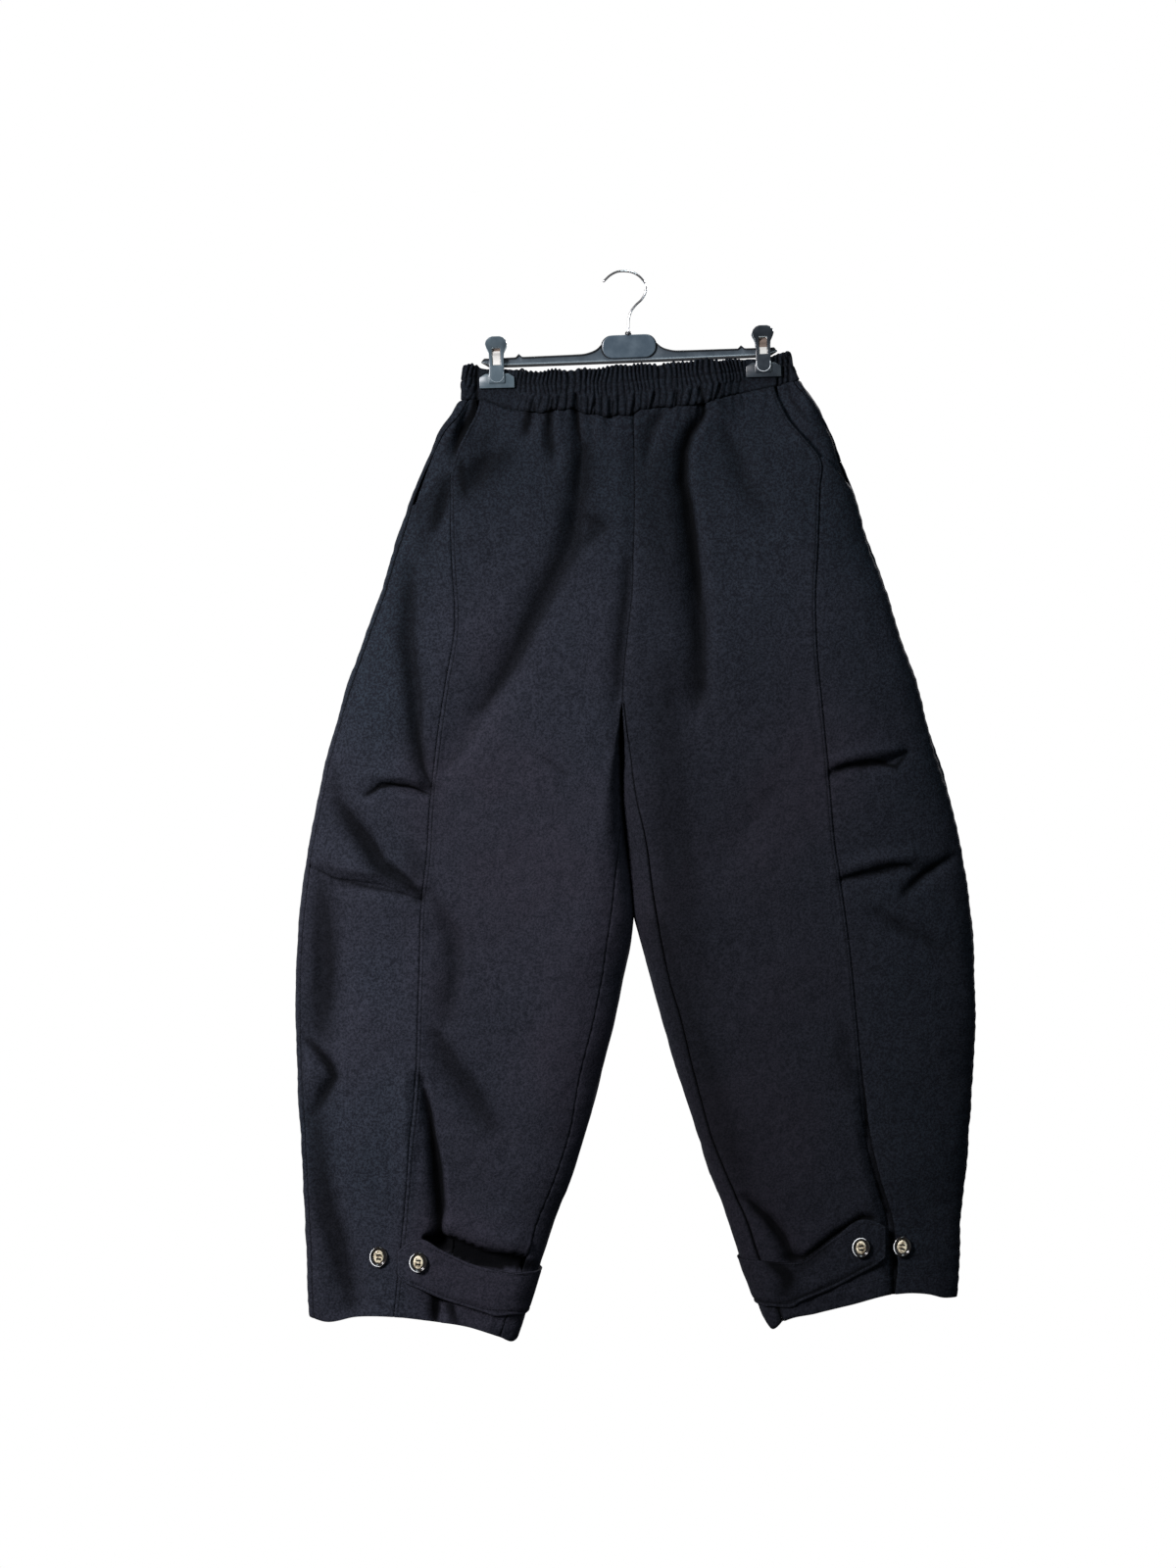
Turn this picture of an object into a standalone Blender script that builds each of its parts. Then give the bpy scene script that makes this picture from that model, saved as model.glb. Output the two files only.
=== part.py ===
"""Barrel leg trousers, hung by the waistband from a clip hanger.

World frame: metres, +Z up, the front of the trousers faces -Y, +X is the viewer's right. The origin
is the inside top of the hanger's hook, where a rail carries it. Lengths in the tables are
millimetres, and a drop is how far a place lies below the origin.
"""

import math

import bpy
import numpy as np

MM = 0.001

# Cloth
CLOTH = 1.5            # wall of a trouser panel
BAND = 2.4             # doubled waistband with its elastic
TAB = 2.6              # doubled cloth of a hem tab
GAP = 0.3              # clearance at seams and contacts
POCKET_TUCK = 3.0      # how deep the pocket facing lies under the panels round it
FACING_UNDER = 22.0    # how far the facing runs on behind the middle panel
FACING_TOP = 1.5       # how far its top edge lies under the waist seam
TAB_LIFT = 1.0         # clearance of a hem tab from the leg it lies on
TROUGH_CLEAR = 3.0     # no trough comes nearer than this to the middle plane

# Levels, as drops
WAIST = 140.0          # nominal waist seam
CROTCH = 457.0         # where the centre front seam ends and the inseams begin
LEGS_PART = 683.0      # where the legs stop touching
HEM = 1110.0           # nominal hem

# Waistband gathers
GATHERS = 66           # on the front, and as many on the back
GATHER_RISE = 1.0

BAND_SEAMS = (-156.0, 160.0)       # x of its side seams on the front
TIP_RISE = 0.9         # how much higher its lower edge lies at the folds beyond the clips

# Columns of points over each panel
SIDE_COLUMNS = 6
MIDDLE_COLUMNS = 11
WRAP_COLUMNS = 4
REAR_COLUMNS = 8
FACING_COLUMNS = 5
WAIST_INSET = 6.0      # how far the back panel turns on to the front beside the waistband
EDGE_CROWDING = 1.6

# Hanger
TILT = math.radians(2.24)          # the left end hangs lower
BAR_MIDDLE = (5.3, 90.5)           # x and drop of the middle of the bar
BAR_FLANGE = 2.5                   # half the depth of the bar's flanges
BAR_WEB = 1.1                      # half the depth of its web
WIRE_RADIUS = 1.2
SOCKET_RADIUS = WIRE_RADIUS + GAP
CLIP_TILT = math.radians(1.5)
JAW_HALF_WIDTH = 18.5
JAW_INNER = 3.3                    # inner face of a closed jaw from the middle plane
PINCHED = 2.7                      # half the depth of the waistband between the jaws

# Buttons
BUTTON_RADIUS = 10.0
BUTTON_SIDES = 18
BUTTON_REST = 0.25     # rise of the cloth's facets over the flat back of a button

# The outline of the front, in x at each drop. outer is the silhouette, seam is the pocket mouth and,
# under it, the seam between the side and middle panels.
LEFT_OUTLINE = (
    # drop, outer, seam
    (105, -171, -158),
    (127, -172, -153),
    (148, -182, -161),
    (168, -196, -168),
    (189, -205, -175),
    (210, -214, -183),
    (252, -231, -184),
    (314, -250, -182),
    (376, -271, -179),
    (439, -294, -189),
    (501, -312, -198),
    (564, -326, -205),
    (626, -338, -209),
    (668, -343, -214),
    (730, -348, -216),
    (792, -349, -218),
    (855, -347, -220),
    (917, -343, -226),
    (980, -340, -231),
    (1042, -337, -237),
    (1110, -334, -244),
)
RIGHT_OUTLINE = (
    # drop, outer, seam
    (85, 177, 152),
    (106, 181, 156),
    (121, 190, 159),
    (140, 204, 166),
    (158, 213, 175),
    (180, 223, 193),
    (198, 229, 207),
    (231, 242, 207),
    (285, 259, 205),
    (345, 280, 202),
    (397, 297, 203),
    (452, 314, 208),
    (527, 336, 215),
    (607, 357, 222),
    (667, 366, 231),
    (730, 371, 239),
    (792, 372, 245),
    (855, 370, 251),
    (917, 365, 258),
    (965, 361, 269),
    (1004, 358, 281),
    (1110, 352, 284),
)
# Below the crotch: inner is the leg's inner silhouette, inseam the seam that shows on the front.
LEFT_INNER = (
    # drop, inner, inseam
    (CROTCH, -3, -4),
    (522, -3, -5),
    (564, -2, -5),
    (587, 0, -4),
    (647, 7, -10),
    (683, 10, -14),
    (714, 7, -19),
    (751, -1, -24),
    (792, -9, -32),
    (834, -20, -43),
    (876, -30, -51),
    (917, -42, -59),
    (959, -55, -73),
    (1000, -71, -89),
    (1042, -86, -103),
    (1076, -96, -114),
    (1110, -107, -126),
    (1135, -115, -134),
)
RIGHT_INNER = (
    # drop, inner, inseam
    (CROTCH, -3, -1),
    (522, -3, 7),
    (564, -2, 14),
    (587, 0, 19),
    (647, 7, 28),
    (683, 10, 34),
    (714, 18, 39),
    (751, 28, 47),
    (792, 39, 59),
    (834, 51, 69),
    (876, 65, 80),
    (917, 79, 92),
    (959, 93, 108),
    (1000, 107, 127),
    (1042, 122, 141),
    (1076, 135, 154),
    (1110, 149, 167),
    (1125, 156, 172),
)
CENTRE_SEAM = (
    # drop, x
    (85, 9),
    (300, 9),
    (345, 7),
    (376, 4),
    (410, 0),
    (CROTCH, -3),
)
SHARP = 0.1            # rounding of a corner that is folded sharp
BODY = (
    # drop, half depth, rounding at the outer edges, rounding at the inner edges
    (85, 10, 7, SHARP),
    (125, 13, 10, SHARP),
    (160, 17, 22, SHARP),
    (200, 21, 50, SHARP),
    (260, 27, 80, SHARP),
    (376, 32, 100, SHARP),
    (CROTCH, 34, 105, SHARP),
    (490, 35, 107, 5),
    (522, 35, 108, 13),
    (587, 35, 110, 26),
    (647, 35, 110, 44),
    (730, 34, 110, 66),
    (855, 31, 105, 72),
    (980, 27, 90, 60),
    (1045, 23, 75, 48),
    (1110, 22, 70, 45),
)
WAIST_SEAM = (
    # x, drop
    (-180, 137),
    (-148, 136),
    (-127, 144),
    (-90, 148),
    (-56, 145),
    (-33, 151),
    (8, 150),
    (25, 144),
    (46, 143),
    (86, 138),
    (118, 130),
    (159, 121),
    (190, 113),
)
WAIST_TOP = (
    # x, drop
    (-172, 104),
    (-164, 99),
    (-158, 100),
    (-151, 103),
    (-130, 103),
    (-106, 106),
    (-6, 101),
    (129, 93),
    (152, 92),
    (165, 87),
    (174, 86),
    (180, 91),
)
LEFT_HEM = (
    # x, drop
    (-334, 1108),
    (-317, 1112),
    (-282, 1106),
    (-246, 1106),
    (-202, 1111),
    (-164, 1117),
    (-131, 1128),
    (-118, 1133),
    (-105, 1122),
)
RIGHT_HEM = (
    # x, drop
    (145, 1104),
    (156, 1120),
    (167, 1112),
    (204, 1102),
    (240, 1093),
    (281, 1085),
    (312, 1084),
    (352, 1087),
)
# A pocket mouth runs on along the top of the side panel: mouth is that row's nominal drop at the
# seam, fall how much lower it meets the silhouette, gape how far the facing sinks behind the mouth.
LEFT_POCKET = {"mouth": 214.0, "fall": 37.0, "gape": 7.0}
RIGHT_POCKET = {"mouth": 205.0, "fall": 31.0, "gape": 3.0}

LEVELS = (
    140, 165, 190, 240, 275, 315, 355, 400, 432, CROTCH, 490, 520, 538, 552, 566, 590, 615, 632,
    645, 658, LEGS_PART, 715, 750, 790, 830, 870, 910, 950, 985, 1015, 1045, 1078, HEM,
)

# Folds of the front. depth is how far the cloth comes forward (a trough is negative), and the widths
# are those at the first and last point of the route.
FRONT_FOLDS = (
    # depth, first width, last width, route as (x, drop)
    (-4, 6, 8, ((-95, 147), (-95, 178))),
    (-5, 6, 9, ((-77, 138), (-73, 192))),
    (-9, 7, 13, ((-49, 142), (-43, 190), (-46, 222), (-50, 252), (-58, 300))),
    (-9, 14, 22, ((-58, 285), (-77, 323), (-117, 420), (-154, 470), (-188, 526))),
    (-4, 10, 12, ((-45, 246), (-24, 271), (-40, 292))),
    (-5, 9, 12, ((-228, 335), (-228, 388), (-223, 441), (-216, 499), (-205, 548))),
    (-7, 12, 14, ((-318, 528), (-294, 568), (-250, 624), (-216, 660))),
    (-5, 12, 12, ((-140, 195), (-164, 230))),
    (-4, 8, 10, ((-192, 228), (-192, 274))),
    (-2, 6, 6, ((-80, 518), (-62, 533))),
    (-4, 12, 12, ((-327, 652), (-326, 749), (-320, 786))),
    (-6, 9, 9, ((-342, 818), (-306, 851), (-336, 900))),
    (-6, 14, 20, ((-329, 961), (-310, 1010), (-288, 1063))),
    (-4, 14, 14, ((-191, 680), (-170, 733))),
    (-5, 14, 18, ((-188, 815), (-150, 898))),
    (-11, 9, 14, ((-214, 868), (-204, 917), (-199, 977), (-197, 1020), (-200, 1095))),
    (6, 10, 9, ((-207, 541), (-241, 535), (-262, 535))),
    (-6, 6, 7, ((-205, 554), (-241, 547), (-256, 546), (-271, 556))),
    (6, 10, 12, ((-220, 650), (-255, 638), (-308, 630), (-334, 620))),
    (-5, 8, 10, ((-216, 669), (-255, 656), (-308, 650), (-338, 636))),
    (-12, 8, 12, ((80, 128), (86, 147), (69, 179), (65, 217), (71, 256), (77, 294))),
    (-12, 12, 18, ((77, 280), (79, 354), (83, 388), (80, 445))),
    (-4, 8, 10, ((42, 147), (23, 210))),
    (-4, 16, 18, ((115, 179), (144, 248))),
    (-3, 20, 20, ((170, 542), (105, 623))),
    (6, 10, 9, ((222, 519), (252, 510), (285, 507))),
    (-6, 6, 7, ((219, 531), (237, 525), (270, 521), (298, 510))),
    (6, 10, 10, ((230, 633), (262, 624), (302, 618))),
    (-5, 6, 7, ((229, 645), (251, 640), (282, 632), (304, 631))),
    (-5, 7, 8, ((297, 656), (318, 637), (350, 619))),
    (-5, 12, 14, ((268, 682), (335, 720))),
    (-9, 10, 12, ((132, 982), (155, 1010), (180, 1044))),
    (-12, 8, 12, ((245, 862), (247, 893), (250, 932), (258, 965), (270, 1004), (272, 1095))),
    (-3, 5, 8, ((8, 150), (8, 300), (3, 376), (-3, 470))),
)
# Folds of the back, seen through from the front: the x of both tables is the same.
BACK_FOLDS = (
    (-5, 7, 12, ((-112, 146), (-116, 230))),
    (-6, 7, 14, ((-62, 146), (-58, 215), (-76, 300))),
    (-5, 7, 12, ((-24, 150), (-20, 225))),
    (-5, 7, 12, ((44, 144), (40, 230))),
    (-7, 7, 15, ((96, 136), (92, 214), (112, 310))),
    (-6, 14, 20, ((-14, 470), (-70, 420), (-130, 396))),
    (-6, 14, 20, ((12, 465), (76, 414), (140, 388))),
    (-3, 6, 8, ((9, 150), (9, 300), (3, 376), (-3, 470))),
    (-6, 14, 20, ((-120, 560), (-210, 590), (-300, 560))),
    (-5, 14, 20, ((-110, 660), (-200, 690), (-300, 676))),
    (-6, 14, 20, ((130, 560), (220, 592), (320, 562))),
    (-5, 14, 20, ((120, 664), (210, 690), (310, 680))),
    (-7, 14, 18, ((-190, 850), (-205, 960), (-200, 1080))),
    (-7, 14, 18, ((230, 840), (250, 950), (262, 1070))),
    (-5, 12, 16, ((-300, 960), (-270, 1060))),
)

# Hem tabs. The first rows run over the front from the pointed end; the others go on round the inner
# edge of the leg, where reach is how far round the back they lie.
LEFT_TAB = (
    # x, top, bottom
    (-240, 1036, 1060),
    (-232, 1029, 1069),
    (-217, 1023, 1076),
    (-192, 1035, 1087),
    (-164, 1048, 1096),
    (-148, 1053, 1101),
)
RIGHT_TAB = (
    # x, top, bottom
    (276, 1010, 1043),
    (264, 1004, 1052),
    (252, 1002, 1058),
    (222, 1021, 1074),
    (204, 1035, 1082),
    (189, 1046, 1088),
)
TAB_TURN = {"left": (1058, 1104), "right": (1046, 1095)}
TAB_BACK = (
    # reach round the back, how much higher than at the turn
    (-39, -1),
    (-27, 0),
    (-18, 0),
    (-11, 0),
    (-6, 1),
    (-2, 2),
    (2, 3),
    (6, 4),
    (11, 5),
    (17, 5),
    (26, 6),
    (38, 6),
    (56, 7),
    (100, 7),
)
# Buttons, by x and drop
BUTTONS = {
    "button_left_panel": (-259.5, 1042.0),
    "button_left_strap": (-217.5, 1047.5),
    "button_right_strap": (249.5, 1032.0),
    "button_right_panel": (296.0, 1031.5),
}
BUTTON_PROFILE = (
    # radius, height above the back face
    (8.6, 0.0),
    (10.0, 1.0),
    (9.9, 2.4),
    (9.0, 3.2),
    (7.6, 2.9),
    (6.4, 2.1),
)

BAR_ROWS = (
    # x along the bar, top and bottom over its middle line
    (-157.0, 1.6, 0.2),
    (-154.0, 5.0, -1.6),
    (-148.0, 4.6, -5.2),
    (-120.5, 5.0, -5.6),
    (-117.0, 8.6, -5.6),
    (-113.5, 5.1, -5.6),
    (-60.0, 5.4, -5.8),
    (-44.0, 6.6, -5.8),
    (-34.0, 10.6, -5.8),
    (-27.0, 17.0, -5.8),
    (0.0, 19.0, -5.8),
    (27.0, 17.0, -5.8),
    (34.0, 10.6, -5.8),
    (44.0, 6.6, -5.8),
    (60.0, 5.4, -5.8),
    (115.5, 5.1, -5.6),
    (119.0, 8.6, -5.6),
    (122.5, 5.0, -5.6),
    (148.0, 4.6, -5.2),
    (154.0, 5.0, -1.6),
    (157.0, 1.6, 0.2),
)
PLAQUE = {"half_width": 28.5, "low": -0.5, "high": 24.0, "corner": 9.0, "half_depth": 3.4}
COLLAR = {"radius": 3.4, "height": 3.6}
SOCKET_DEPTH = 14.0
HOOK_ROUTE = (
    # x, drop of the wire's middle line
    (-22.5, 10.2),
    (-15.0, 3.2),
    (-8.0, -0.4),
    (0.5, -1.2),
    (9.5, 0.4),
    (17.0, 5.2),
    (22.0, 12.5),
    (22.6, 20.5),
    (18.6, 28.5),
    (12.0, 35.0),
    (7.2, 41.5),
    (5.0, 48.0),
)
HOOK_FOOT = 76.0                   # drop of the wire's end in its socket

LEVER_ROWS = (
    # below the head's top, half width, inner face from the middle plane
    (0.0, 4.0, 11.6),
    (1.3, 7.6, 11.2),
    (4.0, 10.4, 10.2),
    (7.6, 11.5, 8.6),
    (11.0, 10.4, 6.6),
    (15.8, 8.1, 4.4),
    (20.0, 7.8, 2.8),
    (29.8, 7.8, 2.8),
    (33.5, 7.8, JAW_INNER),
    (38.6, 8.0, JAW_INNER),
    (42.4, 8.2, JAW_INNER),
    (48.0, 8.2, JAW_INNER),
    (49.8, 7.4, JAW_INNER),
    (53.8, 7.4, JAW_INNER),
)
LEVER_THICK = 2.6
TONGUE_PROUD = 1.5
WINDOW_HALF = 4.5
WINDOW = (11.0, 29.8)              # from and to, below the head's top
JAW_FROM = 38.6                    # where the jaw plate begins, below the head's top
SPRING_HALF = WINDOW_HALF - GAP
SPRING_THICK = 0.9
SPRING_ROUTE = (
    # distance from the middle plane, below the head's top
    (5.4, 29.4),
    (5.2, 25.0),
    (5.6, 20.0),
    (6.6, 15.8),
    (5.6, 13.2),
    (3.2, 11.8),
    (0.0, 11.3),
)
CLIPS = {
    # x and drop of the head's top, and the drop where the jaws end
    "left": (-136.3, 69.5, 124.0),
    "right": (146.4, 57.7, 112.0),
}

CLOTH_BLACK = (0.016, 0.018, 0.024)
PLASTIC = (0.045, 0.058, 0.072)
CHROME = (0.62, 0.62, 0.64)
STEEL = (0.70, 0.69, 0.66)
HORN = (0.50, 0.44, 0.34)


def clear_scene():
    for thing in list(bpy.data.objects):
        bpy.data.objects.remove(thing, do_unlink=True)


def material(name, colour, roughness, metallic=0.0):
    made = bpy.data.materials.new(name)
    made.use_nodes = True
    shader = made.node_tree.nodes["Principled BSDF"]
    shader.inputs["Base Color"].default_value = (*colour, 1.0)
    shader.inputs["Roughness"].default_value = roughness
    shader.inputs["Metallic"].default_value = metallic
    return made


def smoothstep(value):
    t = np.clip(value, 0.0, 1.0)
    return t * t * (3.0 - 2.0 * t)


def curve(rows, at, column=1):
    """Smooth value of one column of a table whose first column rises, held level past its ends."""
    table = np.array([(row[0], row[column]) for row in rows], float)
    place, value = table.T
    slope = np.gradient(value, place)
    at = np.clip(at, place[0], place[-1])
    i = np.clip(np.searchsorted(place, at) - 1, 0, len(place) - 2)
    step = place[i + 1] - place[i]
    t = (at - place[i]) / step
    start = (1 + 2 * t) * (1 - t) ** 2 * value[i] + t * (1 - t) ** 2 * step * slope[i]
    end = t * t * (3 - 2 * t) * value[i + 1] + t * t * (t - 1) * step * slope[i + 1]
    return start + end


def fold_rise(folds, x, drop):
    """How far a list of folds brings the cloth forward at each place."""
    rise = np.zeros(np.broadcast(x, drop).shape)
    for depth, first, last, route in folds:
        points = np.array(route, float)
        runs = np.linalg.norm(np.diff(points, axis=0), axis=1)
        length = runs.sum()
        nearest = np.full(rise.shape, 1e9)
        along = np.zeros(rise.shape)
        walked = 0.0
        for a, b, run in zip(points[:-1], points[1:], runs):
            ux, uz = (b - a) / run
            t = np.clip((x - a[0]) * ux + (drop - a[1]) * uz, 0.0, run)
            away = np.hypot(x - a[0] - t * ux, drop - a[1] - t * uz)
            closer = away < nearest
            along = np.where(closer, (walked + t) / length, along)
            nearest = np.where(closer, away, nearest)
            walked += run
        width = first + (last - first) * along
        fade = 0.35 + 0.65 * np.sin(math.pi * np.clip(along, 0.04, 0.96)) ** 0.5
        rise = rise + depth * fade * np.exp(-(nearest / width) ** 2)
    return rise


def half_depth(x, drop):
    """Half the depth of the hung garment, which is pinched flat in the clips' jaws."""
    depth = curve(BODY, drop, 1)
    for head_x, _, jaw_end in CLIPS.values():
        near = 1.0 - smoothstep((np.abs(x - head_x - 1.0) - JAW_HALF_WIDTH - 2.0) / 32.0)
        held = 1.0 - smoothstep((drop - jaw_end - 3.0) / 80.0)
        depth = depth + (PINCHED - depth) * near * held
    return depth


def shift(leg, x, nominal):
    """How far a nominal level is moved down at x: at the waist seam, pocket mouth and hem."""
    waist = (curve(WAIST_SEAM, x) - WAIST) * (1.0 - smoothstep((nominal - WAIST) / 100.0))
    hem = (curve(leg["hem"], x) - HEM) * smoothstep((nominal - HEM + 110.0) / 110.0)
    pocket = leg["pocket"]
    mouth = pocket["mouth"]
    seam = curve(leg["outline"], mouth, 2)
    edge = curve(leg["outline"], mouth + pocket["fall"], 1)
    across = smoothstep((x - seam) / (edge - seam))
    rising = smoothstep((nominal - WAIST) / (mouth - WAIST))
    falling = 1.0 - smoothstep((nominal - mouth) / 110.0)
    return waist + hem + pocket["fall"] * across * np.minimum(rising, falling)


def line_x(table, column, nominal, move):
    """x of an outline's line where a level, moved down by move(x), crosses it."""
    x = curve(table, nominal, column)
    for _ in range(4):
        x = curve(table, nominal + move(x), column)
    return x


def section(x0, x1, round0, round1, drop_at):
    """Points round one level, from the edge x0 over the front to x1 and back over the rear.

    Each row is x, y, drop and fullness: 0 at the two edges and 1 where the section is flat."""
    angle = np.linspace(0.0, math.pi / 2.0, 13)
    start = x0 + round0 * (1.0 - np.cos(angle))
    end = (x1 - round1 * (1.0 - np.cos(angle)))[::-1]
    middle = np.linspace(start[-1], end[0], 42)[1:-1]
    x = np.concatenate([start, middle, end])
    full = np.concatenate([np.sin(angle), np.ones(len(middle)), np.sin(angle)[::-1]])
    drop = drop_at(x)
    y = half_depth(x, drop) * full
    front = np.stack([x, -y, drop, full], 1)
    rear = np.stack([x, y, drop, full], 1)[::-1]
    return np.concatenate([front, rear[1:]]), len(x)


def along(points):
    steps = np.linalg.norm(np.diff(points[:, :2], axis=0), axis=1)
    return np.concatenate([[0.0], np.cumsum(steps)])


def leg_level(leg, nominal):
    """The section of a leg, or of its half of the body, with the places of its seams along it."""

    def move(x):
        return shift(leg, x, nominal)

    outer = line_x(leg["outline"], 1, nominal, move)
    seam = line_x(leg["outline"], 2, nominal, move)
    if nominal <= CROTCH:
        inner = curve(CENTRE_SEAM, nominal)
    else:
        inner = line_x(leg["inner"], 1, nominal, move)
        inseam = line_x(leg["inner"], 2, nominal, move)
    level = nominal + move(outer)
    round_outer = curve(BODY, level, 2)
    round_inner = max(curve(BODY, level, 3), SHARP)
    side = leg["side"]
    inner = inner + side * GAP / 2
    x0, x1 = sorted((outer, inner))
    if side < 0:
        rounds = (round_outer, round_inner)
    else:
        rounds = (round_inner, round_outer)
    points, turn = section(x0, x1, *rounds, lambda x: nominal + move(x))
    place = along(points)
    front_x = points[:turn, 0]

    def on_front(x):
        return np.interp(x, front_x, place[:turn])

    def on_rear(x):
        return np.interp(-x, -points[turn - 1:, 0], place[turn - 1:])

    total = place[-1]
    corner = inner + side * round_inner
    inset = leg["outseam_inset"] + WAIST_INSET * (1.0 - smoothstep((nominal - WAIST) / 55.0))
    marks = {
        "seam": on_front(seam),
        "outseam": on_front(outer - side * inset),
        "inseam": on_front(inseam) if nominal > CROTCH else on_front(corner),
        "corner": on_rear(corner),
        "edge": on_front(inner),
    }
    if side < 0:
        marks["outseam_rear"] = total + marks["outseam"]
    else:
        marks["outseam_rear"] = marks["outseam"]
        marks["inseam_rear"] = total + marks["inseam"]
    return points, place, marks


def sample(points, place, wanted):
    total = place[-1]
    inside = np.mod(wanted, total)
    return np.stack([np.interp(inside, place, points[:, k]) for k in range(4)], 1)


def spread(start, end, count, crowd=1.0):
    """Places from start to end. A power over 1 crowds them at the start, a negative one at the end."""
    t = np.linspace(0.0, 1.0, count + 1)
    t = t ** crowd if crowd > 0 else 1.0 - (1.0 - t) ** -crowd
    return start + (end - start) * t


def cloth_points(rows):
    """World places in millimetres of sampled rows of x, y, drop and fullness."""
    x, y, drop, full = rows[..., 0], rows[..., 1], rows[..., 2], rows[..., 3]
    weight = smoothstep(full * 1.15)
    room = np.maximum(np.abs(y) - TROUGH_CLEAR, 0.0)
    forward = np.maximum(fold_rise(FRONT_FOLDS, x, drop) * weight, -room)
    backward = np.maximum(fold_rise(BACK_FOLDS, x, drop) * weight, -room)
    moved = np.where(y <= 0.0, y - forward, y + backward)
    return np.stack([x, moved, -drop], -1)


def unit(vectors):
    return vectors / np.maximum(np.linalg.norm(vectors, axis=-1, keepdims=True), 1e-9)


def grid_normals(points):
    return unit(np.cross(np.gradient(points, axis=0), np.gradient(points, axis=1)))


def ring_normals(points):
    """Normals of a grid whose last column lies on its first."""
    closed = np.concatenate([points[:, -2:-1], points, points[:, 1:2]], axis=1)
    return grid_normals(closed)[:, 1:-1]


def end_normals(points, column, neighbour):
    """Normals of a column that ends in the plane of a centre seam."""
    over = (points[:, neighbour] - points[:, column]) * (neighbour - column)
    normal = np.cross(np.gradient(points[:, column], axis=0), over)
    normal[:, 0] = 0.0
    return unit(normal)


def tuck_edges(points, normals, sides):
    """Draw the first and last columns in by half the seam's gap, along the cloth."""
    points = points.copy()
    for column, neighbour in ((0, 1), (-1, -2)):
        if column in sides:
            toward = points[:, neighbour] - points[:, column]
            toward -= normals[:, column] * (toward * normals[:, column]).sum(-1, keepdims=True)
            points[:, column] += unit(toward) * GAP / 2
    return points


def add_object(name, points, faces, look, smooth):
    """An object from points in millimetres, leaving out the points that no face uses."""
    used = sorted({k for face in faces for k in face})
    renumber = {k: n for n, k in enumerate(used)}
    mesh = bpy.data.meshes.new(name)
    places = [tuple(points[k] * MM) for k in used]
    mesh.from_pydata(places, [], [tuple(renumber[k] for k in face) for face in faces])
    mesh.materials.append(look)
    if smooth:
        mesh.shade_smooth()
        mesh.set_sharp_from_angle(angle=math.radians(50))
    made = bpy.data.objects.new(name, mesh)
    bpy.context.collection.objects.link(made)
    return made


def ribbed_wall(name, outer, top_inside, bottom_inside, look):
    """A closed body whose outside is a grid and whose inside is plain from top to bottom."""
    rows, columns = outer.shape[:2]
    count = rows * columns
    points = np.concatenate([outer.reshape(-1, 3), top_inside, bottom_inside])
    foot = (rows - 1) * columns
    faces = []
    for j in range(columns - 1):
        for i in range(rows - 1):
            a = i * columns + j
            faces.append((a, a + columns, a + columns + 1, a + 1))
        high, low = count + j, count + columns + j
        faces.append((high, high + 1, low + 1, low))
        faces.append((j, j + 1, high + 1, high))
        faces.append((foot + j + 1, foot + j, low, low + 1))
    first = [i * columns for i in range(rows)]
    last = [i * columns + columns - 1 for i in range(rows)]
    faces.append(tuple(reversed(first)) + (count, count + columns))
    faces.append(tuple(last) + (count + 2 * columns - 1, count + columns - 1))
    return add_object(name, points, faces, look, True)


def wall(name, outer, inner, look, keep=None, smooth=True):
    """One closed body between two grids of points, given in millimetres.

    Cells where keep is False are left open, and every open border gets a narrow wall."""
    rows, columns = outer.shape[:2]
    if keep is None:
        keep = np.ones((rows - 1, columns - 1), bool)
    count = rows * columns
    points = np.concatenate([outer.reshape(-1, 3), inner.reshape(-1, 3)])
    faces = []
    borders = {}
    for i in range(rows - 1):
        for j in range(columns - 1):
            if keep[i, j]:
                quad = (i * columns + j, (i + 1) * columns + j,
                        (i + 1) * columns + j + 1, i * columns + j + 1)
                faces.append(quad)
                faces.append(tuple(count + k for k in reversed(quad)))
                for a, b in zip(quad, quad[1:] + quad[:1]):
                    if (b, a) in borders:
                        del borders[(b, a)]
                    else:
                        borders[(a, b)] = True
    faces += [(b, a, count + a, count + b) for a, b in borders]
    return add_object(name, points, faces, look, smooth)


def leg_grid(leg):
    """Every column of a leg at every level, with where its panels begin and end."""
    levels = sorted({float(n) for n in LEVELS} | {leg["pocket"]["mouth"]})
    rows = []
    for nominal in levels:
        points, place, marks = leg_level(leg, nominal)
        if leg["side"] < 0:
            stops = (marks["outseam"], marks["seam"], marks["inseam"], marks["corner"],
                     marks["outseam_rear"])
            counts = (SIDE_COLUMNS, MIDDLE_COLUMNS, WRAP_COLUMNS, REAR_COLUMNS)
            bends = (EDGE_CROWDING, 1.0, 1.0, -EDGE_CROWDING)
        else:
            stops = (marks["outseam_rear"], marks["corner"], marks["inseam_rear"],
                     marks["inseam_rear"] + marks["seam"] - marks["inseam"],
                     marks["outseam_rear"] + place[-1])
            counts = (REAR_COLUMNS, WRAP_COLUMNS, MIDDLE_COLUMNS, SIDE_COLUMNS)
            bends = (EDGE_CROWDING, 1.0, 1.0, -EDGE_CROWDING)
        parts = [spread(a, b, n, bend)[:-1]
                 for a, b, n, bend in zip(stops[:-1], stops[1:], counts, bends)]
        wanted = np.concatenate(parts + [stops[-1:]])
        rows.append(sample(points, place, wanted))
    sampled = np.array(rows)
    bounds = np.concatenate([[0], np.cumsum(counts)])
    return levels, sampled, bounds


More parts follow.
